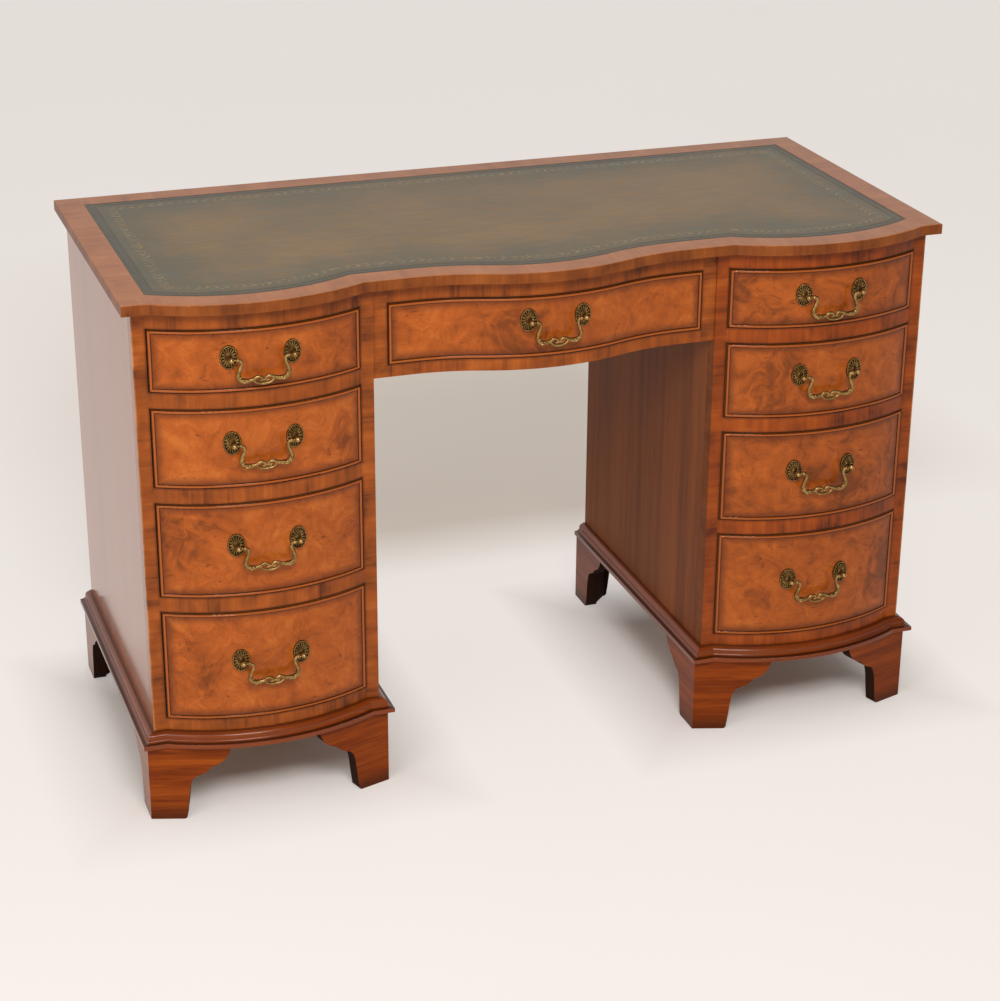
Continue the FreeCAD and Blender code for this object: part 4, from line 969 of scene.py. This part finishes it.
# Brighter to the front and upward, darker at the back: partly wear, partly painted light and shade
mark_wear_and_light(bail, lambda vertex: 0.5 - 0.4 * vertex.normal.y + 0.12 * vertex.normal.z)
for drawer in drawers:
    casting = copy_to(bail, Vector(), 0.0)
    # The centre drawer's posts stand closer together, and its bail is cast narrower
    narrow = Matrix.Scale(post_places[drawer] / usual_post, 4, (1, 0, 0))
    casting.data.transform(Matrix.Translation(pivots[drawer + "_bail"]) @ narrow)
    pull = join_pieces([casting], drawer + "_swan_neck_bail")
    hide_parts(drawer + "_bail")
    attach(pull, drawer + "_bail")
bpy.data.objects.remove(bail)

# Floor, light and camera
# A plain pale studio floor, a bright even room, a soft lamp on the left and another high up in front.
# The camera stands left of the middle and looks down on the desk, as the photograph does.


def watched_rays(add):
    """One for every ray that sees a place straight, in a reflection or through glass."""
    ray = add("LightPath", {}).outputs
    straight = add("Math", {0: ray["Is Camera Ray"], 1: ray["Is Glossy Ray"]}, operation="MAXIMUM")
    through = ray["Is Transmission Ray"]
    return add("Math", {0: straight, 1: through}, operation="MAXIMUM")


bpy.ops.object.select_all(action="DESELECT")
bpy.ops.mesh.primitive_plane_add(size=60.0, location=(0.0, 0.0, 0.0))
floor = bpy.context.object
floor.name = "studio_floor"
# Matt white paint, with a faint change from place to place
finish, add, place = new_finish("painted_studio_floor")
unevenness = add("TexNoise", {"Vector": place["Object"], "Scale": 1.2, "Detail": 3.0})
paint = add("ValToRGB", {"Fac": unevenness})
set_stops(paint, [(0.3, "#f5efeb"), (0.7, "#faf4f0")])
# Where it is watched, part of the floor's brightness is a plain white sweep, but not under the pedestals
watched = watched_rays(add)
from_desk = add("VectorMath", {0: place["Object"]}, operation="LENGTH")
glow = add("MapRange", {
    "Value": from_desk, "From Min": 1.2, "From Max": 3.5, "To Min": 0.72, "To Max": 0.67,
}, interpolation_type="SMOOTHSTEP")
where = add("SeparateXYZ", {"Vector": place["Object"]}).outputs
off_pedestal = from_pedestal(add, where)
beside = add("MapRange", {"Value": off_pedestal, "From Min": 0.14, "From Max": 0.32})
ahead = add("Math", {0: where["Y"]}, operation="ABSOLUTE")
before = add("MapRange", {"Value": ahead, "From Min": 0.14, "From Max": 0.36})
clear = add("Math", {0: beside, 1: before}, operation="MAXIMUM")
lit = add("Math", {0: clear, 1: glow}, operation="MULTIPLY")
# Close behind the desk there is less of the sweep, so that the desk's own shadow shows through the kneehole
beyond = add("ValToRGB", {"Fac": where["Y"]})
set_stops(beyond, [(0.45, "#000000"), (0.65, "#ffffff")])
far_off = add("MapRange", {
    "Value": where["Y"], "From Min": 1.5, "From Max": 2.6, "To Min": 1.0, "To Max": 0.0,
})
shadow_middle = 0.33
off_line = distance_from(add, where["X"], shadow_middle)
abreast = add("MapRange", {
    "Value": off_line, "From Min": 0.3, "From Max": 1.0, "To Min": 0.6, "To Max": 0.0,
})
shadow = add("Math", {0: far_off, 1: abreast}, operation="MULTIPLY")
behind = add("Math", {0: shadow, 1: beyond}, operation="MULTIPLY")
left_over = add("Math", {0: 1.0, 1: behind}, operation="SUBTRACT")
swept = add("Math", {0: lit, 1: left_over}, operation="MULTIPLY")
share = add("Math", {0: watched, 1: swept}, operation="MULTIPLY")
# The shade behind the desk is painted warm, as by light bounced off the walnut
painted_warmth = linear("#fdeddb")
warm_sweep = add("Mix", {0: behind, 6: linear("#fbf4ef"), 7: painted_warmth}, data_type="RGBA")
warm_paint = add("Mix", {0: behind, 6: paint, 7: painted_warmth}, data_type="RGBA")
matt = add("BsdfPrincipled", {"Base Color": warm_paint, "Roughness": 0.8})
sweep = add("Emission", {"Color": warm_sweep, "Strength": 1.0})
surface = add("MixShader", {0: share, 1: matt, 2: sweep})
add("OutputMaterial", {"Surface": surface})
floor.data.materials.append(finish)

world = bpy.data.worlds.new("bright_room")
world.use_nodes = True
world.node_tree.nodes.clear()
add = partial(add_node, world.node_tree)
watched = watched_rays(add)
# Reflections show a white sweep behind the desk and a dimmer room in front of it
aim = add("TexCoord", {}).outputs
towards = add("SeparateXYZ", {"Vector": aim["Generated"]}).outputs
mirrored = add("MapRange", {
    "Value": towards["Y"], "From Min": -0.2, "From Max": 0.7, "To Min": 0.1, "To Max": 0.95,
})
seen_level = 0.79
light_level = 0.4
ray = add("LightPath", {}).outputs
backed = add("Mix", {0: ray["Is Camera Ray"], 2: mirrored, 3: seen_level})
level = add("Mix", {0: watched, 2: light_level, 3: backed})
room = add("Background", {"Color": linear("#fbf7f3"), "Strength": level})
add("OutputWorld", {"Surface": room})
bpy.context.scene.world = world

lamps_aim = Vector((0.0, -0.1, 0.4))
for name, place_at, wide, high, power in (
    ("left_lamp", (-1.8, -1.45, 1.5), 1.3, 1.1, 15.5),
    ("high_lamp", (-0.5, -2.5, 2.5), 1.0, 0.8, 47.0),
):
    light = bpy.data.lights.new(name, "AREA")
    light.shape = "RECTANGLE"
    light.size = wide
    light.size_y = high
    light.energy = power
    light.color = (1.0, 0.98, 0.955)
    lamp = bpy.data.objects.new(name, light)
    bpy.context.scene.collection.objects.link(lamp)
    lamp.location = place_at
    lamp.visible_camera = False
    lamp.rotation_euler = (lamps_aim - lamp.location).to_track_quat("-Z", "Y").to_euler()

eye = bpy.data.cameras.new("camera")
eye.lens = 85.68
eye.sensor_width = 36.0
eye.clip_end = 200.0
camera = bpy.data.objects.new("camera", eye)
bpy.context.scene.collection.objects.link(camera)
camera.location = (-1.1246, -3.2269, 1.7963)
camera.rotation_euler = [math.radians(angle) for angle in (66.73547, -0.33294, -19.19614)]
bpy.context.scene.camera = camera
bpy.context.scene.view_settings.view_transform = "Standard"
